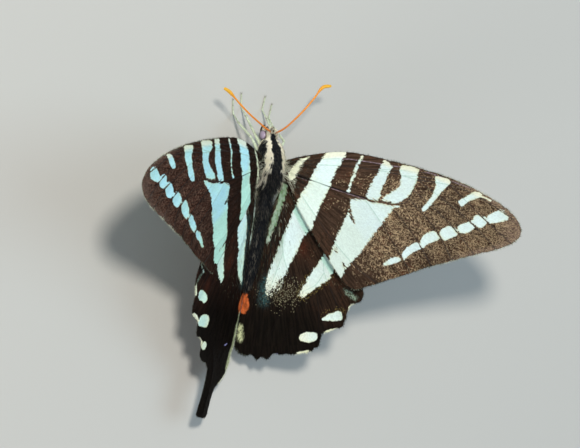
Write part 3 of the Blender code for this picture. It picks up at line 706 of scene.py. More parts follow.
def forewingHeight(places):
    along = np.clip((places[:, 0] - 3.0) / 34.0, 0.0, 1.0)
    across = np.clip((3.5 - places[:, 1]) / 20.0 * 1.15, 0.0, 1.0)
    inside = (places - np.array(forewing["marginStart"])) @ np.array(forewing["marginInwards"])
    curl = forewing["marginCurl"] * np.clip(1.0 - inside / forewing["marginReach"], 0.0, 1.0) ** 2
    return forewing["camber"] * np.sin(math.pi * along) * np.sin(math.pi * across) + curl


def hindwingHeight(places):
    behind = np.maximum(0.0, hindwing["droopStart"] - places[:, 1])
    soft = behind * behind / (behind + 3.0)
    curl = hindwing["cornerCurl"] * np.maximum(0.0, places[:, 0] - hindwing["cornerStart"]) ** 2
    return curl - hindwing["lap"] - hindwing["droop"] * (soft + 0.2 * behind)


def wingToFrame(places, heights, side):
    span, rise = math.cos(wingRise), math.sin(wingRise)
    across = side * (places[:, 0] * span - heights * rise)
    up = places[:, 0] * rise + heights * span
    return np.stack([across, places[:, 1], up], 1) * mm + np.array(hinge)


def frayedRim(outline, step, wear, seed):
    rim = smoothLine(outline, step, closed=True)
    frayed = []
    for index, point in enumerate(rim):
        run = rim[(index + 1) % len(rim)] - rim[index - 1]
        inward = Vector((run.y, -run.x)).normalized()
        rough = noise.noise(Vector((point.x * 1.1 + seed, point.y * 1.1, 0.0)))
        fine = noise.noise(Vector((point.x * 3.7, point.y * 3.7 + seed, 5.0)))
        outer = 1.0 if point.x > 14.0 or point.y < -20.0 else 0.25
        if point.y < -36.0 or (point.x < 0.0 and point.y > -32.0):
            outer = 0.2
        frayed.append(point + inward * wear * outer * (max(0.0, rough) * 1.3 + max(0.0, fine) * 0.7))
    return frayed


def nearestRim(places, rim):  # the outward direction at the nearest rim point
    knots = np.array([tuple(point) for point in rim])
    runs = np.roll(knots, -1, axis=0) - np.roll(knots, 1, axis=0)
    outwards = np.stack([runs[:, 1], -runs[:, 0]], 1)
    outwards /= np.maximum(np.linalg.norm(outwards, axis=1), 1e-9)[:, None]
    area = np.sum(knots[:, 0] * np.roll(knots[:, 1], -1) - np.roll(knots[:, 0], -1) * knots[:, 1])
    nearest = np.array([((knots - place) ** 2).sum(1).argmin() for place in places])
    return outwards[nearest] * (1 if area > 0 else -1)


def wingDirections(flat, side):
    span, rise = math.cos(wingRise), math.sin(wingRise)
    return np.stack([side * flat[:, 0] * span, flat[:, 1], flat[:, 0] * rise], 1)


wingForm = {  # in millimetres
    "rimStep": 0.26,
    "crestStep": 0.24,
    "crestSide": 0.13,  # a row of points on either side of each vein
    "rimClear": 0.12,
    "crestClear": 0.22,
    "sag": 0.16,  # between the veins
    "fold": 0.12,
    "pleat": 0.075,
    "ridge": 0.08,  # how high a vein stands
    "ridgeWidth": 0.11,
}


def innerPoints(step, rim, crests):  # rows along each vein, and a grid between them
    beside = []
    for crest in crests:
        for index, point in enumerate(crest):
            run = crest[min(index + 1, len(crest) - 1)] - crest[max(index - 1, 0)]
            across = Vector((-run.y, run.x)).normalized() * wingForm["crestSide"]
            beside += [point, point + across, point - across]
    beside = np.array([tuple(point) for point in beside])
    beside = beside[insideLoop(beside, rim)]
    beside = beside[lineDistance(beside, closedLine(rim)) > 0.1]
    low = np.min([tuple(point) for point in rim], axis=0)
    high = np.max([tuple(point) for point in rim], axis=0)
    rows = []
    for number, forwards in enumerate(np.arange(low[1], high[1], step * 0.87)):
        spans = np.arange(low[0] + (step / 2 if number % 2 else 0.0), high[0], step)
        rows.append(np.stack([spans, np.full(len(spans), forwards)], 1))
    grid = np.concatenate(rows)
    grid = grid[insideLoop(grid, rim)]
    grid = grid[lineDistance(grid, closedLine(rim)) > wingForm["rimClear"]]
    grid = grid[lineDistance(grid, crests) > wingForm["crestClear"]]
    return np.concatenate([beside, grid])


def triangulate(rim, inner):
    points = list(rim) + [Vector(place) for place in inner]
    found = delaunay_2d_cdt(points, [], [tuple(range(len(rim)))], 1, 0.02)
    places = np.array([tuple(point) for point in found[0]])
    faces = np.array([list(face) for face in found[2]])
    used = np.unique(faces)
    renumber = np.full(len(places), -1)
    renumber[used] = np.arange(len(used))
    return places[used], renumber[faces]


def sheetFaces(places, faces, side):  # the upper face, the lower one and the wall round the rim
    count = len(places)
    corners = places[faces[0]]
    area = np.cross(corners[1] - corners[0], corners[2] - corners[0])
    turns = faces if (area > 0) == (side > 0) else faces[:, ::-1]
    edges = {}
    for face in turns:
        for start, end in ((face[0], face[1]), (face[1], face[2]), (face[2], face[0])):
            if (end, start) in edges:
                del edges[(end, start)]
            else:
                edges[(start, end)] = True
    walls = []
    for start, end in edges:
        walls.append((end, start, start + count))
        walls.append((end, start + count, end + count))
    return [tuple(face) for face in turns] + [tuple(face[::-1] + count) for face in turns] + walls


def addBothSides(mesh, label, upper, lower=None):
    addFloats(mesh, label, np.concatenate([upper, upper if lower is None else lower]))


def markPattern(mesh, plan, places, veinGap, hind):  # how far inside each painted patch a place lies
    bothSides = partial(addBothSides, mesh)
    strokeDepth = partial(patchDepth, places, {})
    spans, forwards = places[:, 0], places[:, 1]
    empty = np.full(len(places), -5.0)
    spots = {label: patch for label, patch in plan["pale"].items() if label.startswith("spot")}
    bands = {label: patch for label, patch in plan["pale"].items() if label not in spots}
    pale = patchDepth(places, bands, plan["paleLines"])
    spotDepth = patchDepth(places, spots, {}) + plan["spotSwell"]
    if not hind:  # dark spurs and veins cut the pale
        pale = np.minimum(pale, -strokeDepth(plan["darkSpurs"]))
        spotDepth = np.minimum(spotDepth, veinGap - 0.09)
    pale = np.maximum(pale, spotDepth)
    notched = strokeDepth(plan["notches"]) if hind else empty
    bothSides("paleDepth", np.maximum(pale, notched))
    bothSides("veinGap", veinGap)
    if hind:
        bothSides("redDepth", patchDepth(places, {"spot": plan["redSpot"]}, {}),
                  strokeDepth({"line": (plan["redLine"], 0.34)}))
        bothSides("blueDepth", strokeDepth(plan["lilac"]))
        bothSides("analDepth", strokeDepth(plan["analStreak"]))
        bothSides("dullDepth", patchDepth(places, {"patch": plan["dull"]}, {}))
        # painted shadow of the forewing's trailing edge on the hindwing
        bothSides("lapPaintedShadow", smoothStep(strokeDepth({"edge": plan["lapEdge"]}), -0.1, 0.3))
        toothShare = 0.3 + 0.7 * smoothStep(forwards, -23.0, -20.0)
    else:
        for label in ("redDepth", "blueDepth", "analDepth", "dullDepth"):
            bothSides(label, empty)
        bothSides("lapPaintedShadow", 0 * empty)
        thin = strokeDepth(plan["paleLines"]) > -0.3
        toothShare = 0.35 + 0.65 * smoothStep(spans, 27.0, 19.0) - 0.25 * thin
    # painted sheen along the forewing's veins
    bothSides("paintedSheenDepth", empty if hind else strokeDepth(plan["sheen"]), empty)
    bothSides("stemDepth", empty if hind else strokeDepth(plan["stem"]))
    bothSides("toothShare", toothShare)
    return pale, notched


def hindTones(plan, places, pale, notched):
    spans, forwards = places[:, 0], places[:, 1]
    middle, reaches = plan["dustCentre"], plan["dustReach"]
    spread = ((spans - middle[0]) / reaches[0]) ** 2 + ((forwards - middle[1]) / reaches[1]) ** 2
    gold = smoothStep(pale, -1.0, -0.1) * smoothStep(forwards, -16.0, -20.0)
    gold *= smoothStep(forwards, -25.0, -23.0) * smoothStep(spans, 5.5, 8.0) * plan["dustShare"]
    rearward = smoothStep(forwards, -27.0, -14.0)
    corner = smoothStep(spans, 9.0, 13.0) * smoothStep(forwards, -28.5, -24.0)
    cream = 0.8 * smoothStep(forwards, -17.5, -22.5) * smoothStep(spans, 12.0, 8.0)
    cream = np.maximum(np.maximum(cream, notched > -0.2), plan["creamRate"])
    if plan["paleLines"]:
        cream = np.maximum(cream, 0.7 * (patchDepth(places, {}, plan["paleLines"]) > -0.2))
    # painted shade of the body over the top of the right hindwing's inner wedge
    paintedBodyShade = smoothStep(spans, 4.4, 3.2) * smoothStep(forwards, -19.0, -9.0)
    return {
        "dust": plan["dustShare"] * np.exp(-spread),
        "gold": gold,
        "groundTone": 0.03 + 0.43 * rearward + 0.2 * corner,
        "fleckShare": -0.16 + 0.14 * rearward,
        "tipShare": 0 * spans,
        "creamShare": cream,
        # painted teal shade along a line beside the inner pale band
        "haze": np.exp(-(lineDistance(places, [smoothLine(plan["haze"], 0.4)]) / 0.75) ** 2),
        "rust": sum(np.exp(-((spans - x) / 0.8) ** 2 - ((forwards - y) / 1.5) ** 2) for x, y in plan["rust"]),
        "paintedBodyShade": paintedBodyShade * smoothStep(plan["dustShare"], 0.1, 0.6),
        "rearShare": 0.4 * smoothStep(forwards, -12.0, -20.0),
        # painted light: the hindwing's pale bands evenly brightened
        "bandPaintedLight": 1.0 + plan["bandLift"] + 0 * spans,
    }


def foreTones(plan, places, rim, reach, veinGap, rimGap):
    spans, forwards = places[:, 0], places[:, 1]
    outer = smoothStep(spans, 9.0, 26.0)
    flecks = -0.02 + 0.36 * outer + 0.12 * smoothStep(spans, 30.0, 42.0)
    flecks -= 0.18 * smoothStep(rimGap, 3.4, 1.0) * smoothStep(spans, 36.0, 26.0)
    flecks -= 0.1 * smoothStep(forwards, -5.0, -1.5) * smoothStep(spans, 31.0, 24.0)
    flecks += 0.16 * smoothStep(veinGap, 0.2, 1.1) * outer
    flecks += 0.3 * np.exp(-((spans - 12.5) / 1.3) ** 2 - ((forwards + 1.6) / 0.6) ** 2)
    margin = 0.8 * smoothStep(rimGap, 1.2, 0.2) * smoothStep(spans, 30.0, 37.0)
    costa = [point for point in rim if point.y > -2.0 and point.x > 4.0]
    frontCream = 0.9 * smoothStep(lineDistance(places, [costa]), 1.4, 0.6)
    tones = dict.fromkeys(("dust", "gold", "haze", "rust", "paintedBodyShade"), 0 * reach)
    tones.update({
        "groundTone": 0.4 + 0.38 * outer,
        "fleckShare": flecks,
        "tipShare": np.maximum(0.75 * smoothStep(spans, 39.0, 43.0), margin),
        "creamShare": np.maximum(frontCream, smoothStep(reach, 9.0, 4.0)),
        "rearShare": smoothStep(forwards + spans, 8.0, 5.0),
        # painted light: the pale bands brightened near the root, where the wing's slope shades them
        "bandPaintedLight": 1.0 + plan["bandLift"] * smoothStep(reach, 18.0, 11.0),
    })
    return tones


def markTones(mesh, tones, plan, places, reach):
    # painted light: the dark ground is brightened by painted sheen on the right wings and darkened by painted
    # shade on the left, changing from the root outwards
    paintedLightRise = plan["outerLight"] - plan["rootLight"]
    tones["groundPaintedLight"] = plan["rootLight"] + paintedLightRise * smoothStep(reach, 12.0, 34.0)
    tones["fleckShare"] = tones["fleckShare"] * plan["fleckRate"]
    for label, values in tones.items():
        addBothSides(mesh, label, values)
    addBothSides(mesh, "underSide", 0 * reach, 0 * reach + 1)
    addVectors(mesh, "flatPlace", np.tile(np.stack([places[:, 0], places[:, 1], 0 * reach], 1), (2, 1)))
    turn = np.arctan2(places[:, 1], places[:, 0])
    scalePlace = np.stack([reach, turn * 22.0, 0 * reach], 1)
    addVectors(mesh, "scalePlace", np.concatenate([scalePlace, scalePlace + (0.0, 0.0, 7.0)]))


def markFringe(mesh, side, plan, places, rim, rimGap, pale, notched, hind):  # hair-like scales on the margin
    bothSides = partial(addBothSides, mesh)
    spans, forwards = places[:, 0], places[:, 1]
    notch = np.array([noise.noise(Vector((place[0] * 0.45, place[1] * 0.45, 3.0))) for place in places])
    if hind:
        outer = np.maximum(smoothStep(forwards, -17.0, -21.0), 0.25)
        inner = smoothStep(spans, 0.5, -0.5) * smoothStep(forwards, -17.0, -20.0)
        bySpot = (spans < 0.0) & (forwards < -21.6) & (forwards > -26.4)
        bothSides("fringeDensity", (rimGap < 0.12) * (outer + inner) * ~bySpot)
        tone = np.where(notched > -0.3, 0.95, 0.1)
        tone = np.where((inner > 0.3) & (forwards < -28.2), plan["innerFringe"], tone)
    else:
        outer = np.maximum(smoothStep(spans, 12.0, 20.0), 0.25)
        inner = 0 * spans
        bothSides("fringeDensity", (rimGap < 0.12) * outer * (spans > 2.5))
        tone = 0.22 + 0.2 * notch + 0.25 * smoothStep(spans, 26.0, 32.0)
        tone = np.where((pale > -0.1) & (forwards < -3.0), 0.85, tone)
    bothSides("fringeTone", tone)
    bothSides("fringeLength", 0.7 + 0.3 * notch + 0.4 * inner)
    addVectors(mesh, "fringeLie", np.tile(wingDirections(nearestRim(places, rim), side), (2, 1)))


def markRootHair(mesh, side, seed, places, reach, pale, hind):  # long hair near the wing's root
    bothSides = partial(addBothSides, mesh)
    spans, forwards = places[:, 0], places[:, 1]
    if hind:
        hairy = np.exp(-(np.maximum(spans + 0.02 * forwards, 0.0) / 2.6) ** 2)
        hairy *= smoothStep(forwards, -25.0, -12.0) * np.where(pale > -0.1, 0.2, 1.0)
        tone = np.where(pale > -0.05, 0.5, 0.08)
        pallid = np.array([noise.noise(Vector((place[0] * 2.2, place[1] * 0.7, seed))) for place in places])
        tone = np.where((pallid > 0.18) & (forwards > -12.0) & (spans > 1.8), 0.62, tone)
        inwards = smoothStep(spans, 3.2, 2.0) * smoothStep(forwards, -13.0, -9.0)
        length = 0.7 + 0.8 * inwards
    else:
        hairy = 0.8 * smoothStep(reach, 9.0, 4.0)
        white = (reach < 2.8) | (spans < 4.5) & (forwards < 0.4)
        tone = np.where((pale > 0.0) | white, 1.0, 0.1)
        inwards = 0 * reach
        length = 0.42 + 0.3 * smoothStep(reach, 6.0, 2.5)
    bothSides("rootDensity", hairy, hairy * 0.4)
    bothSides("rootTone", tone)
    bothSides("rootLength", length)
    lying = places / np.maximum(reach, 0.1)[:, None] + np.stack([-1.0 * inwards, 0 * inwards], 1)
    addVectors(mesh, "rootLie", np.tile(wingDirections(lying, side), (2, 1)))


def unwrapWing(mesh, places, rim):  # the upper side on the left half of the map, the lower on the right
    count = len(places)
    low = np.min([tuple(point) for point in rim], axis=0)
    high = np.max([tuple(point) for point in rim], axis=0)
    flat = np.concatenate([places, places])
    flat[:, 0] = (flat[:, 0] - low[0]) / (high[0] - low[0] + 1.0) * 0.48 + 0.005
    flat[count:, 0] += 0.5
    flat[:, 1] = (flat[:, 1] - low[1]) / (high[1] - low[1] + 1.0) * 0.98 + 0.01
    addVectors(mesh, "rootPlace", np.concatenate([flat, np.zeros((len(flat), 1))], 1))
    layer = mesh.uv_layers.new(name="OFBake")
    loops = np.zeros(len(mesh.loops), np.int32)
    mesh.loops.foreach_get("vertex_index", loops)
    layer.data.foreach_set("uv", flat[loops].astype(np.float32).ravel())


def buildWing(name, side, plan, outline, veins, heightOf, material, wear, seed, cadNode):
    rim = frayedRim(outline, wingForm["rimStep"], wear, seed)
    crests = [smoothLine(line, wingForm["crestStep"]) for line in veins.values()]
    places, faces = triangulate(rim, innerPoints(plan["gridStep"], rim, crests))
    veinGap = lineDistance(places, crests)
    rimGap = lineDistance(places, closedLine(rim))
    reach = np.linalg.norm(places, axis=1)
    turn = np.arctan2(places[:, 1], places[:, 0])
    fold = np.array([noise.noise(Vector((*place, seed)) * 0.22) for place in places])
    radial = np.stack([reach * 0.16, turn * 16.0, 0 * reach + seed + 9.0], 1)
    pleat = np.array([noise.noise(Vector(place)) for place in radial])
    heights = heightOf(places) - wingForm["sag"] * smoothStep(veinGap, 0.1, 2.2) + wingForm["fold"] * fold
    heights = heights + wingForm["pleat"] * pleat * smoothStep(veinGap, 0.1, 0.8)
    ridge = wingForm["ridge"] * np.exp(-(veinGap / wingForm["ridgeWidth"]) ** 2)
    half = plan["thickness"] / 2 * (0.5 + 0.5 * smoothStep(rimGap, 0.0, 0.3))
    top = wingToFrame(places, heights + half + ridge, side)
    under = wingToFrame(places, heights - half - ridge * 0.8, side)
    piece = meshPiece(name, np.concatenate([top, under]), sheetFaces(places, faces, side), material)

    mesh = piece.data
    hind = "redSpot" in plan
    pale, notched = markPattern(mesh, plan, places, veinGap, hind)
    if hind:
        tones = hindTones(plan, places, pale, notched)
    else:
        tones = foreTones(plan, places, rim, reach, veinGap, rimGap)
    markTones(mesh, tones, plan, places, reach)
    markFringe(mesh, side, plan, places, rim, rimGap, pale, notched, hind)
    markRootHair(mesh, side, seed, places, reach, pale, hind)
    unwrapWing(mesh, places, rim)
    growCoat(name + "_fringe", piece, "fringe", fringeSettings, wingHair)
    growCoat(name + "_hair", piece, "root", rootSettings, wingHair)
    finishPiece(piece, [cadNode])
    print("wing", name, len(mesh.polygons), "triangles")


# Wing scales: a powder of overlapping chitin scales in rows that run out from the root, matt,
# with band edges that break up scale by scale

wingFinish = {
    "scaleLong": 0.26,  # millimetres along the wing, drawn coarser than life so that it shows
    "scaleWide": 0.1,
    "toothLong": 0.55,  # teeth of the band edges
    "toothWide": 0.2,
    "dot": 0.17,  # single pale scales strewn over the dark
    "cream": "#F2EED0",
    "dark": "#100D09",
    # red-brown of the dark ground's patches, partly the scales' own colour and partly painted reddish sheen
    "russetAndSheen": "#5A3524",
    "tip": "#A58A7C",
    "red": "#D06A38",
    "blue": "#A9A6DC",
    "anal": "#CDD2A4",
    "dust": "#C9C09A",
    # colour of the painted teal shade
    "gold": "#A08C4E",
    "haze": "#4F7E80",
    "rust": "#5C3122",
    # colour of the painted shade of the body, dark green
    "dull": "#93A893",
    "paintedBodyShade": "#6C8C63",
    # colour of the painted shadow of the forewing's edge
    "lap": "#B4E4D4",
    "edgeGold": "#D3D7A0",
    # colour of the painted sheen along the veins
    "lilac": "#C9AEBB",
    # green-grey of the veins in the pale bands, with painted shade in their creases
    "vein": "#9CC4B4",
    "darkVein": "#140D0C",
    "underBrown": "#6B5946",
}


def makeWingMaterial(name, pale, shadePale, umber, fleckTint):
    material, tree, shader = newMaterial(name)

    read = partial(readLabel, tree)
    reckon = partial(calculate, tree)
    between = partial(mapRange, tree)
    blend = partial(mixColours, tree)
    scaled = partial(scaleVector, tree)

    def paint(label):
        return linearColour(wingFinish[label])

    # scale rows: far out from the root the rows split, so that scales keep their width
    rows = readPlace(tree, "scalePlace")
    parts = addNode(tree, "ShaderNodeSeparateXYZ", {0: rows}).outputs
    rank = reckon("LOGARITHM", reckon("DIVIDE", parts["X"], 22.0), 2.0)
    split = reckon("POWER", 2.0, reckon("ROUND", rank))
    around = reckon("MULTIPLY", parts["Y"], reckon("MULTIPLY", split, 1.0 / wingFinish["scaleWide"]))
    out = reckon("MULTIPLY", parts["X"], 1.0 / wingFinish["scaleLong"])
    rowPlace = addNode(tree, "ShaderNodeCombineXYZ", {0: out, 1: around, 2: parts["Z"]}).outputs[0]
    ruffle = moveVector(tree, "MULTIPLY", flatNoise(tree, rowPlace, 0.35, 1.0)["Color"], (1.6, 3.0, 0.0))
    cells = flatCells(tree, moveVector(tree, "ADD", rowPlace, ruffle))
    luck = splitColour(tree, cells["Color"])
    longer = wingFinish["scaleLong"] / wingFinish["toothLong"]
    wider = wingFinish["scaleWide"] / wingFinish["toothWide"]
    tooth = flatCells(tree, moveVector(tree, "MULTIPLY", rowPlace, (longer, wider, 1.0)))
    tooth = splitColour(tree, tooth["Color"])[0]
    place = objectPlace(tree)
    wander = addNoise(tree, place, 0.6, 3.0, 0.6)
    patchy = addNoise(tree, place, 4.0, 4.0, 0.6)
    dots = addCells(tree, place, wingFinish["dot"])
    dotLuck = splitColour(tree, dots["Color"])
    dotMask = between(dots["Distance"], 0.5, 0.3)

    # hair-like scales: one short line in every cell, lying any way
    flat = readPlace(tree, "flatPlace")

    def strewHairs(size, start):
        spread = moveVector(tree, "MULTIPLY_ADD", flat, (1.0 / size, 1.0 / size, 0.0), (start, start, 0.0))
        cell = flatCells(tree, spread)
        chance = splitColour(tree, cell["Color"])
        given = {
            "Vector": moveVector(tree, "SUBTRACT", spread, cell["Position"]),
            "Angle": reckon("MULTIPLY", chance[0], math.pi),
        }
        turned = addNode(tree, "ShaderNodeVectorRotate", given, rotation_type="Z_AXIS").outputs[0]
        turned = addNode(tree, "ShaderNodeSeparateXYZ", {0: turned}).outputs
        slim = between(reckon("ABSOLUTE", turned["Y"]), 0.17, 0.07)
        ends = between(reckon("ABSOLUTE", turned["X"]), 0.7, 0.45)
        return reckon("MULTIPLY", slim, ends), chance[1], chance[2]

    # band edges wander a little and single scales stray across them
    stray = reckon("MULTIPLY_ADD", reckon("SUBTRACT", tooth, 0.5), 0.34, -0.03)
    edge = reckon("MULTIPLY_ADD", reckon("SUBTRACT", wander, 0.5), 0.28, stray)
    edge = reckon("MULTIPLY", edge, read("toothShare"))
    edge = reckon("MULTIPLY_ADD", reckon("SUBTRACT", luck[0], 0.5), 0.1, edge)
    loose = reckon("MULTIPLY", reckon("SUBTRACT", dotLuck[2], 0.5), reckon("MULTIPLY", read("dust"), 3.2))
    edge = reckon("ADD", edge, loose)
    masks = {}
    softness = {"paleDepth": 0.04, "redDepth": 0.12, "blueDepth": 0.08, "analDepth": 0.35, "dullDepth": 0.3}
    for label, soft in softness.items():
        masks[label] = between(reckon("ADD", read(label), edge), -soft, soft)
    masks["paintedSheenDepth"] = between(read("paintedSheenDepth"), -0.06, 0.04)
    masks["stemDepth"] = between(read("stemDepth"), -0.05, 0.04)

    # dark ground: brown-black, redder in patches that are partly red-brown scales and partly a painted
    # reddish sheen, with tan hair-like scales that thicken outwards
    tone = reckon("MULTIPLY", read("groundTone"), between(luck[2], 0.0, 1.0, 0.7, 1.15, False))
    ground = blend(tone, paint("dark"), linearColour(umber))
    russetAndSheen = reckon("MULTIPLY", between(patchy, 0.48, 0.66, 0.0, 0.7),
                    reckon("MULTIPLY", read("groundTone"), between(luck[1], 0.2, 0.9)))
    ground = blend(russetAndSheen, ground, paint("russetAndSheen"))
    fleckShare = reckon("MULTIPLY_ADD", reckon("SUBTRACT", patchy, 0.5), 0.5, read("fleckShare"))
    fleck = between(reckon("SUBTRACT", fleckShare, luck[1]), -0.05, 0.08)
    fleck = reckon("MULTIPLY", fleck, between(luck[0], 0.0, 1.0, 0.0, 0.4, False))
    ground = blend(fleck, ground, linearColour(fleckTint))
    # painted sheen: radial streaks that brighten and darken the dark ground along the scale rows
    streak = moveVector(tree, "MULTIPLY", rowPlace, (0.06, 0.3, 1.0))
    streak = flatNoise(tree, streak, 1.0, 2.0)["Fac"]
    ground = scaled(ground, between(streak, 0.36, 0.64, 0.62, 1.4))
    for size, start in ((0.37, 0.0), (0.3, 31.7), (0.43, 73.3), (0.34, 17.9)):
        mask, chance, strength = strewHairs(size, start)
        present = between(reckon("SUBTRACT", reckon("MULTIPLY", fleckShare, 0.95), chance), -0.05, 0.08)
        mask = reckon("MULTIPLY", reckon("MULTIPLY", mask, present),
                      between(strength, 0.0, 1.0, 0.1, 0.72, False))
        ground = blend(mask, ground, linearColour(fleckTint))
    tipShare = reckon("MULTIPLY", read("tipShare"), between(luck[2], 0.1, 0.9, 0.2, 0.62))
    ground = blend(tipShare, ground, paint("tip"))
    ground = blend(between(read("veinGap"), 0.15, 0.04, 0.0, 0.6), ground, paint("darkVein"))
    ground = blend(reckon("MULTIPLY", read("rust"), between(luck[2], 0.0, 1.0, 0.3, 0.9, False)), ground,
                   paint("rust"))
    # painted teal shade on the dark ground beside the inner pale band
    paintedTealShadeShare = reckon("MULTIPLY", read("haze"), between(dotLuck[0], 0.2, 0.9, 0.08, 0.75))
    ground = blend(paintedTealShadeShare, ground, paint("haze"))
    dusty = reckon("MULTIPLY", reckon("GREATER_THAN", read("dust"), dotLuck[1]), dotMask)
    ground = blend(reckon("MULTIPLY", dusty, between(dotLuck[0], 0.0, 1.0, 0.3, 1.0, False)), ground,
                   paint("dust"))
    golden = reckon("MULTIPLY", reckon("GREATER_THAN", read("gold"), dotLuck[2]), dotMask)
    ground = blend(reckon("MULTIPLY", golden, 0.7), ground, paint("gold"))
    # painted light and shade on the dark ground, set by side and from root to tip
    ground = scaled(ground, read("groundPaintedLight"))
    # painted sheen along the veins, lilac
    ground = blend(reckon("MULTIPLY", masks["paintedSheenDepth"], between(luck[1], 0.0, 1.0, 0.1, 0.6)), ground,
                   paint("lilac"))

    # pale bands: mint white, cream by the front edge and the body, darker green-grey along the veins, partly
    # the veins' own colour and partly painted shade in their creases
    light = blend(reckon("MULTIPLY_ADD", between(patchy, 0.35, 0.65), 0.5, read("rearShare")),
                  linearColour(pale), linearColour(shadePale))
    light = blend(reckon("MULTIPLY", read("creamShare"), 0.8), light, paint("cream"))
    veinColourAndShade = reckon("MULTIPLY", between(read("veinGap"), 0.12, 0.02, 0.0, 0.55),
                    reckon("SUBTRACT", 1.0, read("creamShare")))
    light = blend(veinColourAndShade, light, paint("vein"))
    goldEdge = between(reckon("ADD", read("paleDepth"), edge), 0.3, 0.0, 0.0, 0.5)
    light = blend(reckon("MULTIPLY", goldEdge, between(patchy, 0.4, 0.6, 0.2, 1.0)), light, paint("edgeGold"))
    # painted shade of the body on the inner wedge, dark green
    light = blend(reckon("MULTIPLY", read("paintedBodyShade"), between(wander, 0.35, 0.6, 1.0, 0.72)), light,
                  paint("paintedBodyShade"))
    # painted shadow of the forewing's trailing edge, teal green
    light = blend(reckon("MULTIPLY", read("lapPaintedShadow"), 0.8), light, paint("lap"))
    # painted light on the pale bands, strongest near the forewing's root
    light = scaled(light, reckon("MULTIPLY", between(luck[1], 0.0, 1.0, 0.86, 1.0), read("bandPaintedLight")))

    # dark scales strew over the pale where the dust lies, and the underside is browner and paler
    worn = reckon("MULTIPLY", reckon("GREATER_THAN", reckon("MULTIPLY", read("dust"), 0.8), dotLuck[0]),
                  dotMask)
    cover = reckon("MULTIPLY", masks["paleDepth"], reckon("SUBTRACT", 1.0, reckon("MULTIPLY", worn, 0.85)))
    dull = reckon("MULTIPLY", masks["dullDepth"], between(dotLuck[1], 0.35, 0.65, 0.1, 0.9))
    ground = blend(reckon("MULTIPLY", read("underSide"), 0.5), ground, paint("underBrown"))
    ground = blend(dull, ground, paint("dull"))
    colour = blend(cover, ground, light)
    colour = blend(reckon("MULTIPLY", masks["stemDepth"], 0.85), colour, paint("darkVein"))
    mottled = scaled(paint("red")[:3], between(wander, 0.35, 0.6, 0.55, 1.1))
    colour = blend(reckon("MULTIPLY", masks["redDepth"], between(luck[2], 0.0, 1.0, 0.7, 1.0)), colour,
                   mottled)
    colour = blend(reckon("MULTIPLY", masks["blueDepth"], 0.8), colour, paint("blue"))
    colour = blend(reckon("MULTIPLY", masks["analDepth"], between(luck[0], 0.1, 0.8, 0.3, 0.95)), colour,
                   paint("anal"))
    tree.links.new(colour, shader.inputs["Base Color"])

    onVein = reckon("MULTIPLY", between(read("veinGap"), 0.14, 0.03), read("groundTone"))
    roughness = reckon("MULTIPLY_ADD", onVein, -0.22, between(luck[0], 0.0, 1.0, 0.5, 0.75))
    tree.links.new(roughness, shader.inputs["Roughness"])
    tree.links.new(reckon("MULTIPLY_ADD", onVein, 0.2, 0.04), shader.inputs["Specular IOR Level"])
    lumps = reckon("MULTIPLY_ADD", cells["Distance"], -0.5, reckon("MULTIPLY", luck[2], 0.6))
    addBump(tree, shader, lumps, 0.5, 0.035)
    return material


# one scale pattern in two copies: the right wings painted as lit, with a painted brown sheen on the dark
# ground, and the left wings painted as in shade, bluer in the pale bands from painted sky reflection and
# darker in the ground
scalesRightPaintedLit = makeWingMaterial("powderedWingScalesRightPaintedLit", "#DFF2F1", "#DFF0E6", "#4E3A2D", "#D0B68F")
scalesLeftPaintedShade = makeWingMaterial("powderedWingScalesLeftPaintedShade", "#BCF0FC", "#C0F2E2", "#5A392D", "#B08C78")
fringeSettings = {
    "Tufts per square metre": 7.0e7, "Tuft width": 0.05 * mm, "Tuft length": 0.42 * mm,
    "Lift": 0.1, "Scatter": 0.22, "Clump": 0.15, "Seed": 21,
}
rootSettings = {
    "Tufts per square metre": 2.4e7, "Tuft width": 0.05 * mm, "Tuft length": 1.25 * mm,
    "Lift": 0.3, "Scatter": 0.2, "Clump": 0.3, "Seed": 22,
}
wingHair = makeFurMaterial("wingHair", "#F0F2D8", "#120E0C", "#6E7460")

# The two sides differ: the right hindwing has lost its tail, and dust and small marks are not the same

def sidePlan(base, word, **values):  # a side's own patches stand in for the common ones
    own = {key[:-len(word)]: value for key, value in base.items() if key.endswith(word)}
    return {**base, **own, **values}


wholeVeins = {**hindwing["veins"], "tail": hindwing["tailVein"]}
# the root and outer values and the band lift are painted light: painted sheen on the right wings, painted
# shade on the left
forePlans = {
    1: sidePlan(
        forewing, "Right", pale={**forewing["pale"], "root": forewing["rootLeaf"]},
        sheen=forewing["sheenVeins"], rootLight=1.45, outerLight=0.76, fleckRate=1.0, spotSwell=0.08,
        bandLift=0.15),
    -1: sidePlan(
        forewing, "Left", sheen={}, rootLight=0.38, outerLight=0.47, fleckRate=0.7, spotSwell=0.2,
        bandLift=0.1),
}
hindPlans = {
    1: sidePlan(
        hindwing, "Right", pale={**hindwing["pale"], "inner": hindwing["innerWedge"]}, paleLines={},
        dustShare=0.8, creamRate=0.0, innerFringe=0.12, rootLight=0.76, outerLight=0.8, fleckRate=1.0,
        spotSwell=0.0, bandLift=0.1),
    -1: sidePlan(
        hindwing, "Left", dustShare=0.05, creamRate=0.4, innerFringe=0.7, rootLight=0.5, outerLight=0.6,
        fleckRate=0.6, spotSwell=0.08, bandLift=0.12),
}
for word, side in sides:
    scales = scalesRightPaintedLit if side > 0 else scalesLeftPaintedShade
    buildWing("forewingMembrane_" + word, side, forePlans[side], forewing["rim"], forewing["veins"],
              forewingHeight, scales, 0.13, 3.0 + side, "forewing_" + word)
    tail = hindwing["brokenTail"] if side > 0 else hindwing["wholeTail"]
    hindVeins = hindwing["veins"] if side > 0 else wholeVeins
    outline = hindwingFront + tail + hindwingInner
    wear = 0.26 if side > 0 else 0.18
    buildWing("hindwingMembrane_" + word, side, hindPlans[side], outline, hindVeins, hindwingHeight,
              scales, wear, 8.0 + side, "hindwing_" + word)


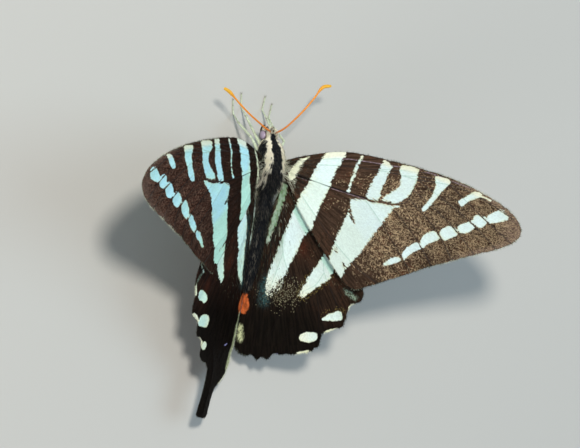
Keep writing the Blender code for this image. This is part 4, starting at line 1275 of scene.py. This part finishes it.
# Round tubes of changing thickness: legs, feelers, palps and tongue

def tubePiece(name, line, radii, sides, material):
    verts, faces = [], []
    for index, (point, radius) in enumerate(zip(line, radii)):
        run = (line[min(index + 1, len(line) - 1)] - line[max(index - 1, 0)]).normalized()
        if not index:
            across = Vector((0.0, 0.0, 1.0)) if abs(run.z) < 0.9 else Vector((1.0, 0.0, 0.0))
        across = (across - run * across.dot(run)).normalized()
        other = run.cross(across)
        for step in range(sides):
            turn = 2 * math.pi * step / sides
            verts.append((point + (across * math.cos(turn) + other * math.sin(turn)) * radius) * mm + hinge)
    for ring in range(len(line) - 1):
        for step in range(sides):
            after = (step + 1) % sides
            a, b = ring * sides + step, ring * sides + after
            faces.append((a, b, b + sides, a + sides))
    verts.append(line[0] * mm + hinge)
    verts.append(line[-1] * mm + hinge)
    last = (len(line) - 1) * sides
    for step in range(sides):
        after = (step + 1) % sides
        faces.append((len(verts) - 2, after, step))
        faces.append((len(verts) - 1, last + step, last + after))
    return meshPiece(name, verts, faces, material)


def joinPieces(name, pieces):
    made = bmesh.new()
    for piece in pieces:
        made.from_mesh(piece.data)
    material = pieces[0].data.materials[0]
    for piece in pieces:
        bpy.data.objects.remove(piece, do_unlink=True)
    mesh = bpy.data.meshes.new(name)
    made.to_mesh(mesh)
    made.free()
    mesh.shade_smooth()
    mesh.materials.append(material)
    return addObject(name, mesh)


def lineLengths(line):
    reached = [0.0]
    for start, end in zip(line, line[1:]):
        reached.append(reached[-1] + (end - start).length)
    return reached


feeler = {
    "shaft": 0.15,
    "club": 0.3,
    "joint": 0.34,  # the length of one of the feeler's many joints
    "sides": 14,
    "tip": (0.2, 0.5, 0.72, 0.88, 0.96),  # how the last rings draw in
    "right": (
        (0.5, 5.2, -0.9), (0.75, 5.7, -0.1), (1.75, 6.35, 0.0), (3.0, 7.4, 0.0), (5.5, 10.1, 0.0),
        (7.2, 12.4, 0.1), (8.1, 13.8, 0.1), (8.9, 14.5, 0.1), (10.3, 14.75, 0.1),
    ),
    "left": (
        (-0.5, 5.2, -0.9), (-0.75, 5.7, -0.1), (-1.7, 6.2, -0.2), (-2.8, 6.9, -0.4), (-4.9, 8.2, -0.5),
        (-7.1, 9.75, -0.5), (-8.4, 10.8, -0.5), (-9.5, 11.6, -0.5), (-10.6, 12.05, -0.5),
    ),
}


def makeFeelerMaterial():
    # smooth cuticle, amber orange and slightly glossy, golden at the club
    material, tree, shader = newMaterial("amberCuticle")
    stops = ((0.0, "#6A3A18"), (0.12, "#DC7A1C"), (0.45, "#FB9420"), (0.8, "#FFA024"), (0.9, "#FFBE34"))
    hue = colourRamp(tree, readLabel(tree, "along"), (*stops, (1.0, "#FFC02E")))
    mottle = mapRange(tree, addNoise(tree, objectPlace(tree), 0.3, 2.0), 0.0, 1.0, 0.8, 1.1, False)
    tree.links.new(scaleVector(tree, hue, mottle), shader.inputs["Base Color"])
    setFinish(shader, {"Roughness": 0.42})
    return material


def makeFeeler(word, material):
    line = smoothLine(feeler[word], 0.06)
    reached = lineLengths(line)
    radii, shares = [], []
    for distance in reached:
        share = distance / reached[-1]
        club = math.sin(math.pi * min(1.0, max(0.0, (share - 0.79) / 0.225))) ** 0.75
        beat = distance / feeler["joint"] % 1.0
        swell = 1.0 + 0.13 * beat ** 2 - 0.1 * (beat < 0.12)
        radii.append((feeler["shaft"] + (feeler["club"] - feeler["shaft"]) * club) * swell)
        shares.append(share)
    for index, share in enumerate(feeler["tip"]):
        radii[-1 - index] *= share
    piece = tubePiece("feeler_" + word, line, radii, feeler["sides"], material)
    along = [share for share in shares for step in range(feeler["sides"])] + [0.0, 1.0]
    addFloats(piece.data, "along", along)
    finishPiece(piece, ["antenna_" + word])


amber = makeFeelerMaterial()
for word in ("right", "left"):
    makeFeeler(word, amber)
print("feelers made")


# Legs: a stout thigh, a thin shin with spurs, five foot joints and two claws

leg = {
    "paths": {
        "foreleg": ((0.7, 2.0, -1.2), (2.0, 5.2, -3.2), (2.1, 7.9, -6.4), (2.1, 9.3), (2.4, 11.6)),
        "midleg": ((1.0, 0.8, -1.2), (3.3, 4.3, -1.7), (3.5, 6.6, -6.3), (3.6, 8.1), (3.9, 10.4)),
        "hindleg": ((0.9, -1.4, -1.2), (3.9, -4.0, -2.4), (4.9, -9.4, -6.0), (5.1, -11.6), (5.9, -17.0)),
    },
    "thigh": 0.31,
    "shin": 0.19,
    "foot": 0.15,
    "claw": 0.05,
    "sides": 12,
    "spur": (0.07, 0.065, 0.06, 0.05, 0.045, 0.03, 0.015, 0.01, 0.008),
}


def makeLegMaterial():
    # cuticle under close pale green-white scales, matt, browner at the joints
    material, tree, shader = newMaterial("paleScaledCuticle")
    cells = addCells(tree, objectPlace(tree), 0.12)
    speck = addNode(tree, "ShaderNodeTexWhiteNoise", {"Vector": cells["Position"]}).outputs["Value"]
    bare = mapRange(tree, speck, 0.72, 0.98, 0.0, 0.65, False)
    bare = calculate(tree, "MAXIMUM", bare, readLabel(tree, "jointDark"))
    colour = mixColours(tree, bare, linearColour("#DCEACB"), linearColour("#5E4A34"))
    tree.links.new(colour, shader.inputs["Base Color"])
    addBump(tree, shader, cells["Distance"], 0.4, 0.02)
    setFinish(shader, {"Roughness": 0.62})
    return material


def legLine(joints):
    root, knee, ankle, touch, toe = joints
    level = floorLevel + leg["foot"] * 1.05
    corners = [Vector(root), Vector(knee), Vector(ankle), Vector((*touch, level)), Vector((*toe, level))]
    line = [corners[0]]
    for before, corner, after in zip(corners, corners[1:], corners[2:]):
        into = (corner - before).normalized()
        out = (after - corner).normalized()
        line += [corner.lerp(before, 0.5), corner - into * 0.4]
        line += [corner + (out - into) * 0.1, corner + out * 0.4]
    line += [corners[-2].lerp(corners[-1], 0.5), corners[-1]]
    return smoothLine(line, 0.12), corners


def makeLeg(kind, word, side, material):
    joints = [(side * joint[0], *joint[1:]) for joint in leg["paths"][kind]]
    line, corners = legLine(joints)
    reached = lineLengths(line)
    away = [[(point - corner).length for point in line] for corner in corners[1:3]]
    kneeLength, ankleLength = (reached[gaps.index(min(gaps))] for gaps in away)
    whole = reached[-1]
    radii, darks = [], []
    for distance in reached:
        if distance < kneeLength:
            share = distance / kneeLength
            swell = 0.78 + 0.22 * math.sin(math.pi * min(1.0, share * 1.15))
            radii.append(leg["thigh"] * swell * (1.0 - 0.3 * share ** 6))
            darks.append(0.7 * share ** 30)
        elif distance < ankleLength:
            share = (distance - kneeLength) / (ankleLength - kneeLength)
            radii.append(leg["shin"] * (0.95 + 0.12 * math.sin(math.pi * share)) + 0.05 * (1 - share) ** 8)
            darks.append(0.5 * share ** 20)
        else:
            share = (distance - ankleLength) / (whole - ankleLength)
            beat = share * 5 % 1.0
            radii.append(leg["foot"] * (0.84 + 0.18 * beat ** 2) * (1.0 - 0.15 * share))
            darks.append(0.6 * (1 - beat) ** 10 + 0.25 * share)
    radii[-1] *= 0.6
    body = tubePiece("legBody", line, radii, leg["sides"], material)
    addFloats(body.data, "jointDark", [dark for dark in darks for step in range(leg["sides"])] + [0.0, 0.3])
    toe = corners[4]
    heading = (toe - corners[3]).normalized()
    across = Vector((-heading.y, heading.x, 0.0))
    shinRun = (corners[2] - corners[1]).normalized()
    spurStart = corners[2] - shinRun * 0.35
    extras = []
    for turn in (-1, 1):
        claw = smoothLine([
            toe + across * turn * 0.05,
            toe + heading * 0.22 + across * turn * 0.14 + Vector((0, 0, 0.06)),
            toe + heading * 0.36 + across * turn * 0.17 - Vector((0, 0, 0.07))], 0.06)
        taper = [leg["claw"] * (1 - 0.8 * index / (len(claw) - 1)) for index in range(len(claw))]
        extras.append(tubePiece("claw", claw, taper, 6, material))
    for turn in (-1, 1):
        spur = smoothLine([
            spurStart, spurStart + shinRun * 0.35 + across * turn * 0.25,
            spurStart + shinRun * 0.75 + across * turn * 0.34], 0.1)
        extras.append(tubePiece("spur", spur, leg["spur"][:len(spur)], 6, material))
    for extra in extras:
        addFloats(extra.data, "jointDark", [0.75] * len(extra.data.vertices))
    piece = joinPieces("legSkin_" + kind + "_" + word, [body, *extras])
    finishPiece(piece, [kind + "_" + word])


legScales = makeLegMaterial()
for word, side in sides:
    for kind in leg["paths"]:
        makeLeg(kind, word, side, legScales)
print("legs made")


# Eyes: domes of small facets, dark and glossy

eye = {"centre": (1.2, 4.9, -1.6), "radii": (0.58, 0.88, 0.88), "facet": 0.06}


def makeEyeMaterial():
    # compound eye: hard clear facets over dark pigment, with a painted violet-grey highlight where the eye
    # faces up and outwards
    material, tree, shader = newMaterial("facetedEye")
    place = objectPlace(tree)
    facets = addCells(tree, place, eye["facet"])
    cloud = addNoise(tree, place, 0.9, 2.0)
    colour = mixColours(tree, cloud, linearColour("#181216"), linearColour("#453A44"))
    # painted highlight, violet-grey
    colour = mixColours(tree, readLabel(tree, "paintedGleam"), colour, linearColour("#B8A8BE"))
    tree.links.new(colour, shader.inputs["Base Color"])
    addBump(tree, shader, facets["Distance"], 0.25, 0.01)
    setFinish(shader, {
        "Roughness": 0.4,
        "Specular IOR Level": 0.8,
        "Specular Tint": linearColour("#E6D6F2"),
        "Coat Weight": 0.4,
        "Coat Roughness": 0.2,
    })
    return material


def makeEye(word, side, material):
    ball = bmesh.new()
    bmesh.ops.create_icosphere(ball, subdivisions=5, radius=1.0)
    grow = Matrix.Diagonal([radius * mm for radius in eye["radii"]]).to_4x4()
    centre = Vector((side * eye["centre"][0], *eye["centre"][1:])) * mm + hinge
    bmesh.ops.transform(ball, matrix=Matrix.Translation(centre) @ grow, verts=ball.verts)
    mesh = bpy.data.meshes.new("eyeDome_" + word)
    ball.to_mesh(mesh)
    ball.free()
    mesh.shade_smooth()
    mesh.materials.append(material)
    # painted highlight on the side of the eye that faces up and outwards
    outwards = Vector((side * 0.62, 0.2, 0.76))
    facing = [max(0.0, vert.normal.dot(outwards) - 0.5) / 0.4 for vert in mesh.vertices]
    addFloats(mesh, "paintedGleam", [0.85 * min(1.0, share) ** 0.8 for share in facing])
    finishPiece(addObject("eyeDome_" + word, mesh), ["eye_" + word])


facetedEye = makeEyeMaterial()
for word, side in sides:
    makeEye(word, side, facetedEye)
print("eyes made")


# Tongue: coiled like a watch spring under the head

tongue = {
    "centre": (5.75, -3.5),
    "outer": 1.05,
    "inner": 0.22,
    "turns": 3.0,
    "radius": 0.1,
    "steps": 150,
    "sides": 10,
}


def makeTongue():
    # dark brown cuticle tube, finely ringed and slightly glossy
    material, tree, shader = newMaterial("ringedBrownCuticle")
    colour = mixColours(tree, readLabel(tree, "ringBeat"), linearColour("#24150D"), linearColour("#5B3A22"))
    tree.links.new(colour, shader.inputs["Base Color"])
    setFinish(shader, {"Roughness": 0.4})
    forwards, up = tongue["centre"]
    line = [Vector((0.0, forwards - 1.1, up + 1.7)), Vector((0.0, forwards - 1.08, up + 0.8))]
    for index in range(tongue["steps"] + 1):
        share = index / tongue["steps"]
        turn = math.pi + share * tongue["turns"] * 2 * math.pi
        reach = tongue["outer"] + (tongue["inner"] - tongue["outer"]) * share
        line.append(Vector((0.0, forwards + reach * math.cos(turn), up + reach * math.sin(turn))))
    rings = range(len(line))
    taper = [tongue["radius"] * (1.15 - 0.45 * index / len(line)) for index in rings]
    radii = [radius * (1 + 0.05 * (index % 2)) for index, radius in enumerate(taper)]
    piece = tubePiece("tongueCoil", line, radii, tongue["sides"], material)
    beats = [index % 2 * 0.8 for index in rings for step in range(tongue["sides"])]
    addFloats(piece.data, "ringBeat", beats + [0.0, 0.0])
    finishPiece(piece, ["proboscis"])


makeTongue()


# Skin of head, thorax and abdomen: one closed surface just inside the solids, under the hair

skin = {"nodes": ("head", "thorax", "abdomen"), "voxel": 0.13, "close": 0.2, "depth": 0.12, "calm": 0.6}


def makeSkin(material):
    shape = bmesh.new()
    for name in skin["nodes"]:
        shape.from_mesh(frame["nodes"][name].data)
    bmesh.ops.remove_doubles(shape, verts=shape.verts, dist=0.001 * mm)
    mesh = bpy.data.meshes.new("skinCage")
    shape.to_mesh(mesh)
    shape.free()
    cage = addObject("skinCage", mesh)
    grow = cage.modifiers.new("grow", "DISPLACE")
    grow.mid_level = 0.0
    grow.strength = skin["close"] * mm
    fuse = cage.modifiers.new("fuse", "REMESH")
    fuse.mode = "VOXEL"
    fuse.voxel_size = skin["voxel"] * mm
    shrink = cage.modifiers.new("shrink", "DISPLACE")
    shrink.mid_level = 0.0
    shrink.strength = -(skin["close"] + skin["depth"]) * mm
    calm = cage.modifiers.new("calm", "SMOOTH")
    calm.factor = skin["calm"]
    calm.iterations = 6
    made = settledMesh(cage, "bodySkin")
    made.materials.clear()
    made.materials.append(material)
    return addObject("bodySkin", made)


stripes = {  # forwards, half width of the black middle stripe, outer edge of the cream one
    "places": (-4.0, -1.8, -0.7, 0.8, 2.3, 3.8, 5.0, 5.8),
    "black": (2.4, 2.0, 1.15, 0.98, 0.9, 0.72, 0.52, 0.32),
    "cream": (2.5, 2.5, 2.2, 2.05, 1.85, 1.5, 1.22, 1.1),
    "shift": (0.0, 0.16, 0.24, 0.24, 0.24, 0.2, 0.05, 0.0),  # the stripe runs a little to the right
}


def coatLook(place):  # in millimetres from the hinge: tone, length, share of thorax, head and abdomen, lie
    x, y, z = place
    wander = noise.noise(Vector((x, y * 0.5, z)) * 1.8) * 0.16
    wander += noise.noise(Vector((x * 0.6, y, z * 0.6)) * 3.2) * 0.48
    shift = np.interp(y, stripes["places"], stripes["shift"])
    black = np.interp(y, stripes["places"], stripes["black"])
    cream = np.interp(y, stripes["places"], stripes["cream"])
    side = abs(x - shift) + wander
    if y > 4.5:  # head: black brow with a cream line along each eye, cream face below
        tone = 0.95 if black < side < cream and z > -1.3 else 0.04
        if z < -1.9 or y > 5.9 and side > black:
            tone = 0.9
        lie = Vector((0.3 * x, 0.8, 0.5 if z > -1.2 else -0.35))
        return tone, 0.8 if tone > 0.5 else 0.5, (0.0, 1.0, 0.0), lie
    if y > -5.0:  # thorax: black middle stripe, broad cream side stripes that part behind, pale below
        tone = 0.95 if black < side < cream and z > -0.5 else 0.04
        if y < -0.6 and 1.5 < side < 2.7 and z > -0.5:  # pale hair straggles back between the wings
            tone = 0.62 if noise.noise(Vector((x * 2.6, y * 0.5, z * 2.0)) * 1.6) > 0.0 else 0.08
        if z < -0.6:
            tone = 0.9 if side < 2.2 and math.sin(y * 2.3 + z) > -0.55 else 0.08
        length = 1.05 if tone > 0.5 else 0.55
        if y < -0.5:
            length = 1.25 if tone > 0.5 else 0.9
        outwards = np.interp(y, (-5.0, -3.0, -1.5, 2.0, 3.0), (0.5, 0.4, 0.12, 0.12, 0.22))
        return tone, length, (1.0, 0.0, 0.0), Vector((outwards * x, -1.0 if y < 3.6 else -0.6, 0.12))
    # abdomen: dark above with greyer hair here and there, a cream line low on each side, a pale belly
    tone = 0.04
    centre = -1.95 + (y + 12.5) * (0.177 if y > -12.5 else 0.112)
    if noise.noise(Vector((x * 3.0, y * 0.35, z * 3.0))) > 0.3:
        tone = 0.22
    if z < centre - 0.35 + wander:
        tone = 0.9
    if z < centre - 1.0:
        tone = 0.55
    spread = np.interp(y, (-10.0, -7.0, -5.0), (0.12, 0.55, 0.6))  # fuller at the front, where the wings join
    return tone, 0.7 + 0.8 * (spread - 0.12), (0.0, 0.0, 1.0), Vector((spread * x, -1.0, 0.02))


def markSkin(piece):
    mesh = piece.data
    count = len(mesh.vertices)
    places = np.zeros(count * 3, np.float32)
    mesh.vertices.foreach_get("co", places)
    places = (places.reshape(-1, 3) - np.array(hinge)) / mm
    looks = [coatLook(place) for place in places]
    around = np.arctan2(places[:, 0], places[:, 2] + 1.0) / (2 * math.pi) + 0.5
    along = (places[:, 1] - places[:, 1].min()) / np.ptp(places[:, 1])
    patch = np.stack([around * 0.97 + 0.015, along * 0.97 + 0.015, 0 * along], 1)
    addVectors(mesh, "rootPlace", patch)
    addFloats(mesh, "hairTone", [look[0] for look in looks])
    for index, kind in enumerate(("thorax", "head", "abdomen")):
        addFloats(mesh, kind + "Tone", [look[0] for look in looks])
        addFloats(mesh, kind + "Length", [look[1] for look in looks])
        addFloats(mesh, kind + "Density", [look[2][index] for look in looks])
        addVectors(mesh, kind + "Lie", [look[3].normalized() for look in looks])


bodyFur = makeFurMaterial("softBodyHair", "#FFF9E2", "#101115", "#80796C")
skinPiece = makeSkin(bodyFur)
markSkin(skinPiece)
coatSettings = {
    "thorax": {"Tufts per square metre": 5.0e7, "Tuft width": 0.07 * mm, "Tuft length": 1.0 * mm,
               "Lift": 0.22, "Scatter": 0.28, "Clump": 0.4, "Seed": 11},
    "head": {"Tufts per square metre": 9.0e7, "Tuft width": 0.05 * mm, "Tuft length": 0.9 * mm,
             "Lift": 0.6, "Scatter": 0.25, "Clump": 0.2, "Seed": 12},
    "abdomen": {"Tufts per square metre": 4.2e7, "Tuft width": 0.06 * mm, "Tuft length": 0.9 * mm,
                "Lift": 0.25, "Scatter": 0.15, "Clump": 0.15, "Seed": 13},
}
for kind, settings in coatSettings.items():
    growCoat(kind + "Coat", skinPiece, kind, settings, bodyFur)
finishPiece(skinPiece, ["thorax", "head", "abdomen"])
print("skin", len(skinPiece.data.polygons), "faces")


# Palps: two short feelers of cream hair on either side of the tongue

palp = {
    "line": ((0.55, 5.2, -2.0), (0.6, 5.85, -2.3), (0.62, 6.2, -1.9), (0.6, 6.3, -1.3)),
    "radius": 0.24,
    "sides": 12,
}


def makePalp(word, side, material):
    line = smoothLine([(side * x, y, z) for x, y, z in palp["line"]], 0.1)
    last = len(line) - 1
    radii = [palp["radius"] * (1.0 - 0.55 * (index / last) ** 3) for index in range(len(line))]
    radii[-1] *= 0.6
    piece = tubePiece("palpSkin_" + word, line, radii, palp["sides"], material)
    mesh = piece.data
    places = np.array([tuple(vert.co) for vert in mesh.vertices])
    middle = np.array([tuple(point * mm + hinge) for point in line])
    nearest = [int(((middle - place) ** 2).sum(1).argmin()) for place in places]
    runs = [(line[min(index + 1, last)] - line[max(index - 1, 0)]).normalized() for index in range(len(line))]
    tones = [0.95 if index < last * 0.8 else 0.2 for index in nearest]
    addFloats(mesh, "hairTone", tones)
    addFloats(mesh, "headTone", tones)
    addFloats(mesh, "headLength", [0.45] * len(places))
    addFloats(mesh, "headDensity", [1.0] * len(places))
    addVectors(mesh, "headLie", [runs[index] for index in nearest])
    spin = np.linspace(0.02, 0.97, palp["sides"])
    around = [spin[index % palp["sides"]] for index in range(len(places))]
    patch = [(turn, 0.02 + 0.95 * index / last, 0.0) for turn, index in zip(around, nearest)]
    addVectors(mesh, "rootPlace", patch)
    settings = dict(coatSettings["head"])
    settings["Tuft width"] = 0.04 * mm
    growCoat("palpCoat_" + word, piece, "head", settings, material)
    finishPiece(piece, ["palp_" + word])


for word, side in sides:
    makePalp(word, side, bodyFur)
print("palps made")


# Floor, light and camera

def makeStage():
    material, tree, shader = newMaterial("palePaperSweep")
    setFinish(shader, {"Base Color": linearColour("#C9C8C3"), "Roughness": 0.85})
    bpy.ops.mesh.primitive_plane_add(size=6.0, location=(0.0, 0.0, -0.00005))
    floor = bpy.context.object
    floor.name = "floor"
    floor.data.materials.append(material)
    world = bpy.data.worlds.new("studio")
    bpy.context.scene.world = world
    world.use_nodes = True
    back = world.node_tree.nodes["Background"]
    back.inputs["Color"].default_value = linearColour("#D5DFE8")
    back.inputs["Strength"].default_value = 0.38


def addLight(name, place, target, size, power, colour):
    data = bpy.data.lights.new(name, "AREA")
    data.shape = "DISK"
    data.size = size
    data.energy = power
    data.color = linearColour(colour)[:3]
    lamp = addObject(name, data)
    lamp.location = place
    lamp.rotation_euler = (target - place).to_track_quat("-Z", "Y").to_euler()


camera = {
    "tilt": math.radians(31.0),  # from straight above towards the butterfly's left
    "lean": math.radians(6.8),  # the body leans this far clockwise in the picture
    "aim": (4.59, -9.61),  # the picture's middle, across and forwards, in millimetres
    "pixelsPerMm": 5.85,
    "lens": 400.0,
    "width": 580,
}


def makeCamera():
    across = Vector((math.cos(camera["tilt"]), 0.0, math.sin(camera["tilt"])))
    back = Vector((-math.sin(camera["tilt"]), 0.0, math.cos(camera["tilt"])))
    forwards = Vector((0.0, 1.0, 0.0))
    right = across * math.cos(camera["lean"]) + forwards * math.sin(camera["lean"])
    up = forwards * math.cos(camera["lean"]) - across * math.sin(camera["lean"])
    data = bpy.data.cameras.new("camera")
    data.lens = camera["lens"]
    data.clip_start, data.clip_end = 0.05, 20.0
    lens = addObject("camera", data)
    frameWidth = camera["width"] / camera["pixelsPerMm"] * mm
    distance = frameWidth * data.lens / data.sensor_width
    aim = hinge + (across * camera["aim"][0] + forwards * camera["aim"][1]) * mm
    turn = Matrix((right, up, back)).transposed().to_4x4()
    lens.matrix_world = Matrix.Translation(aim + back * distance) @ turn
    bpy.context.scene.camera = lens
    return across, back, forwards


makeStage()
across, back, forwards = makeCamera()
middle = hinge + Vector((0.0, -8.0, 0.0)) * mm
lights = {  # direction, size in metres, watts and colour
    "keyLight": (Vector((-0.36, 0.28, 0.89)), 0.08, 2.4, "#FFF9F0"),
    "fillLight": (across * 0.9 + back * 0.5 + forwards * 0.1, 0.45, 1.05, "#C4E4F8"),
    "rimLight": (-forwards * 0.6 + back * 0.5 - across * 0.3, 0.3, 0.4, "#FFFFFF"),
}
for name, (direction, size, power, colour) in lights.items():
    addLight(name, middle + direction * 0.6, middle, size, power, colour)
bpy.context.scene.view_settings.view_transform = "Standard"
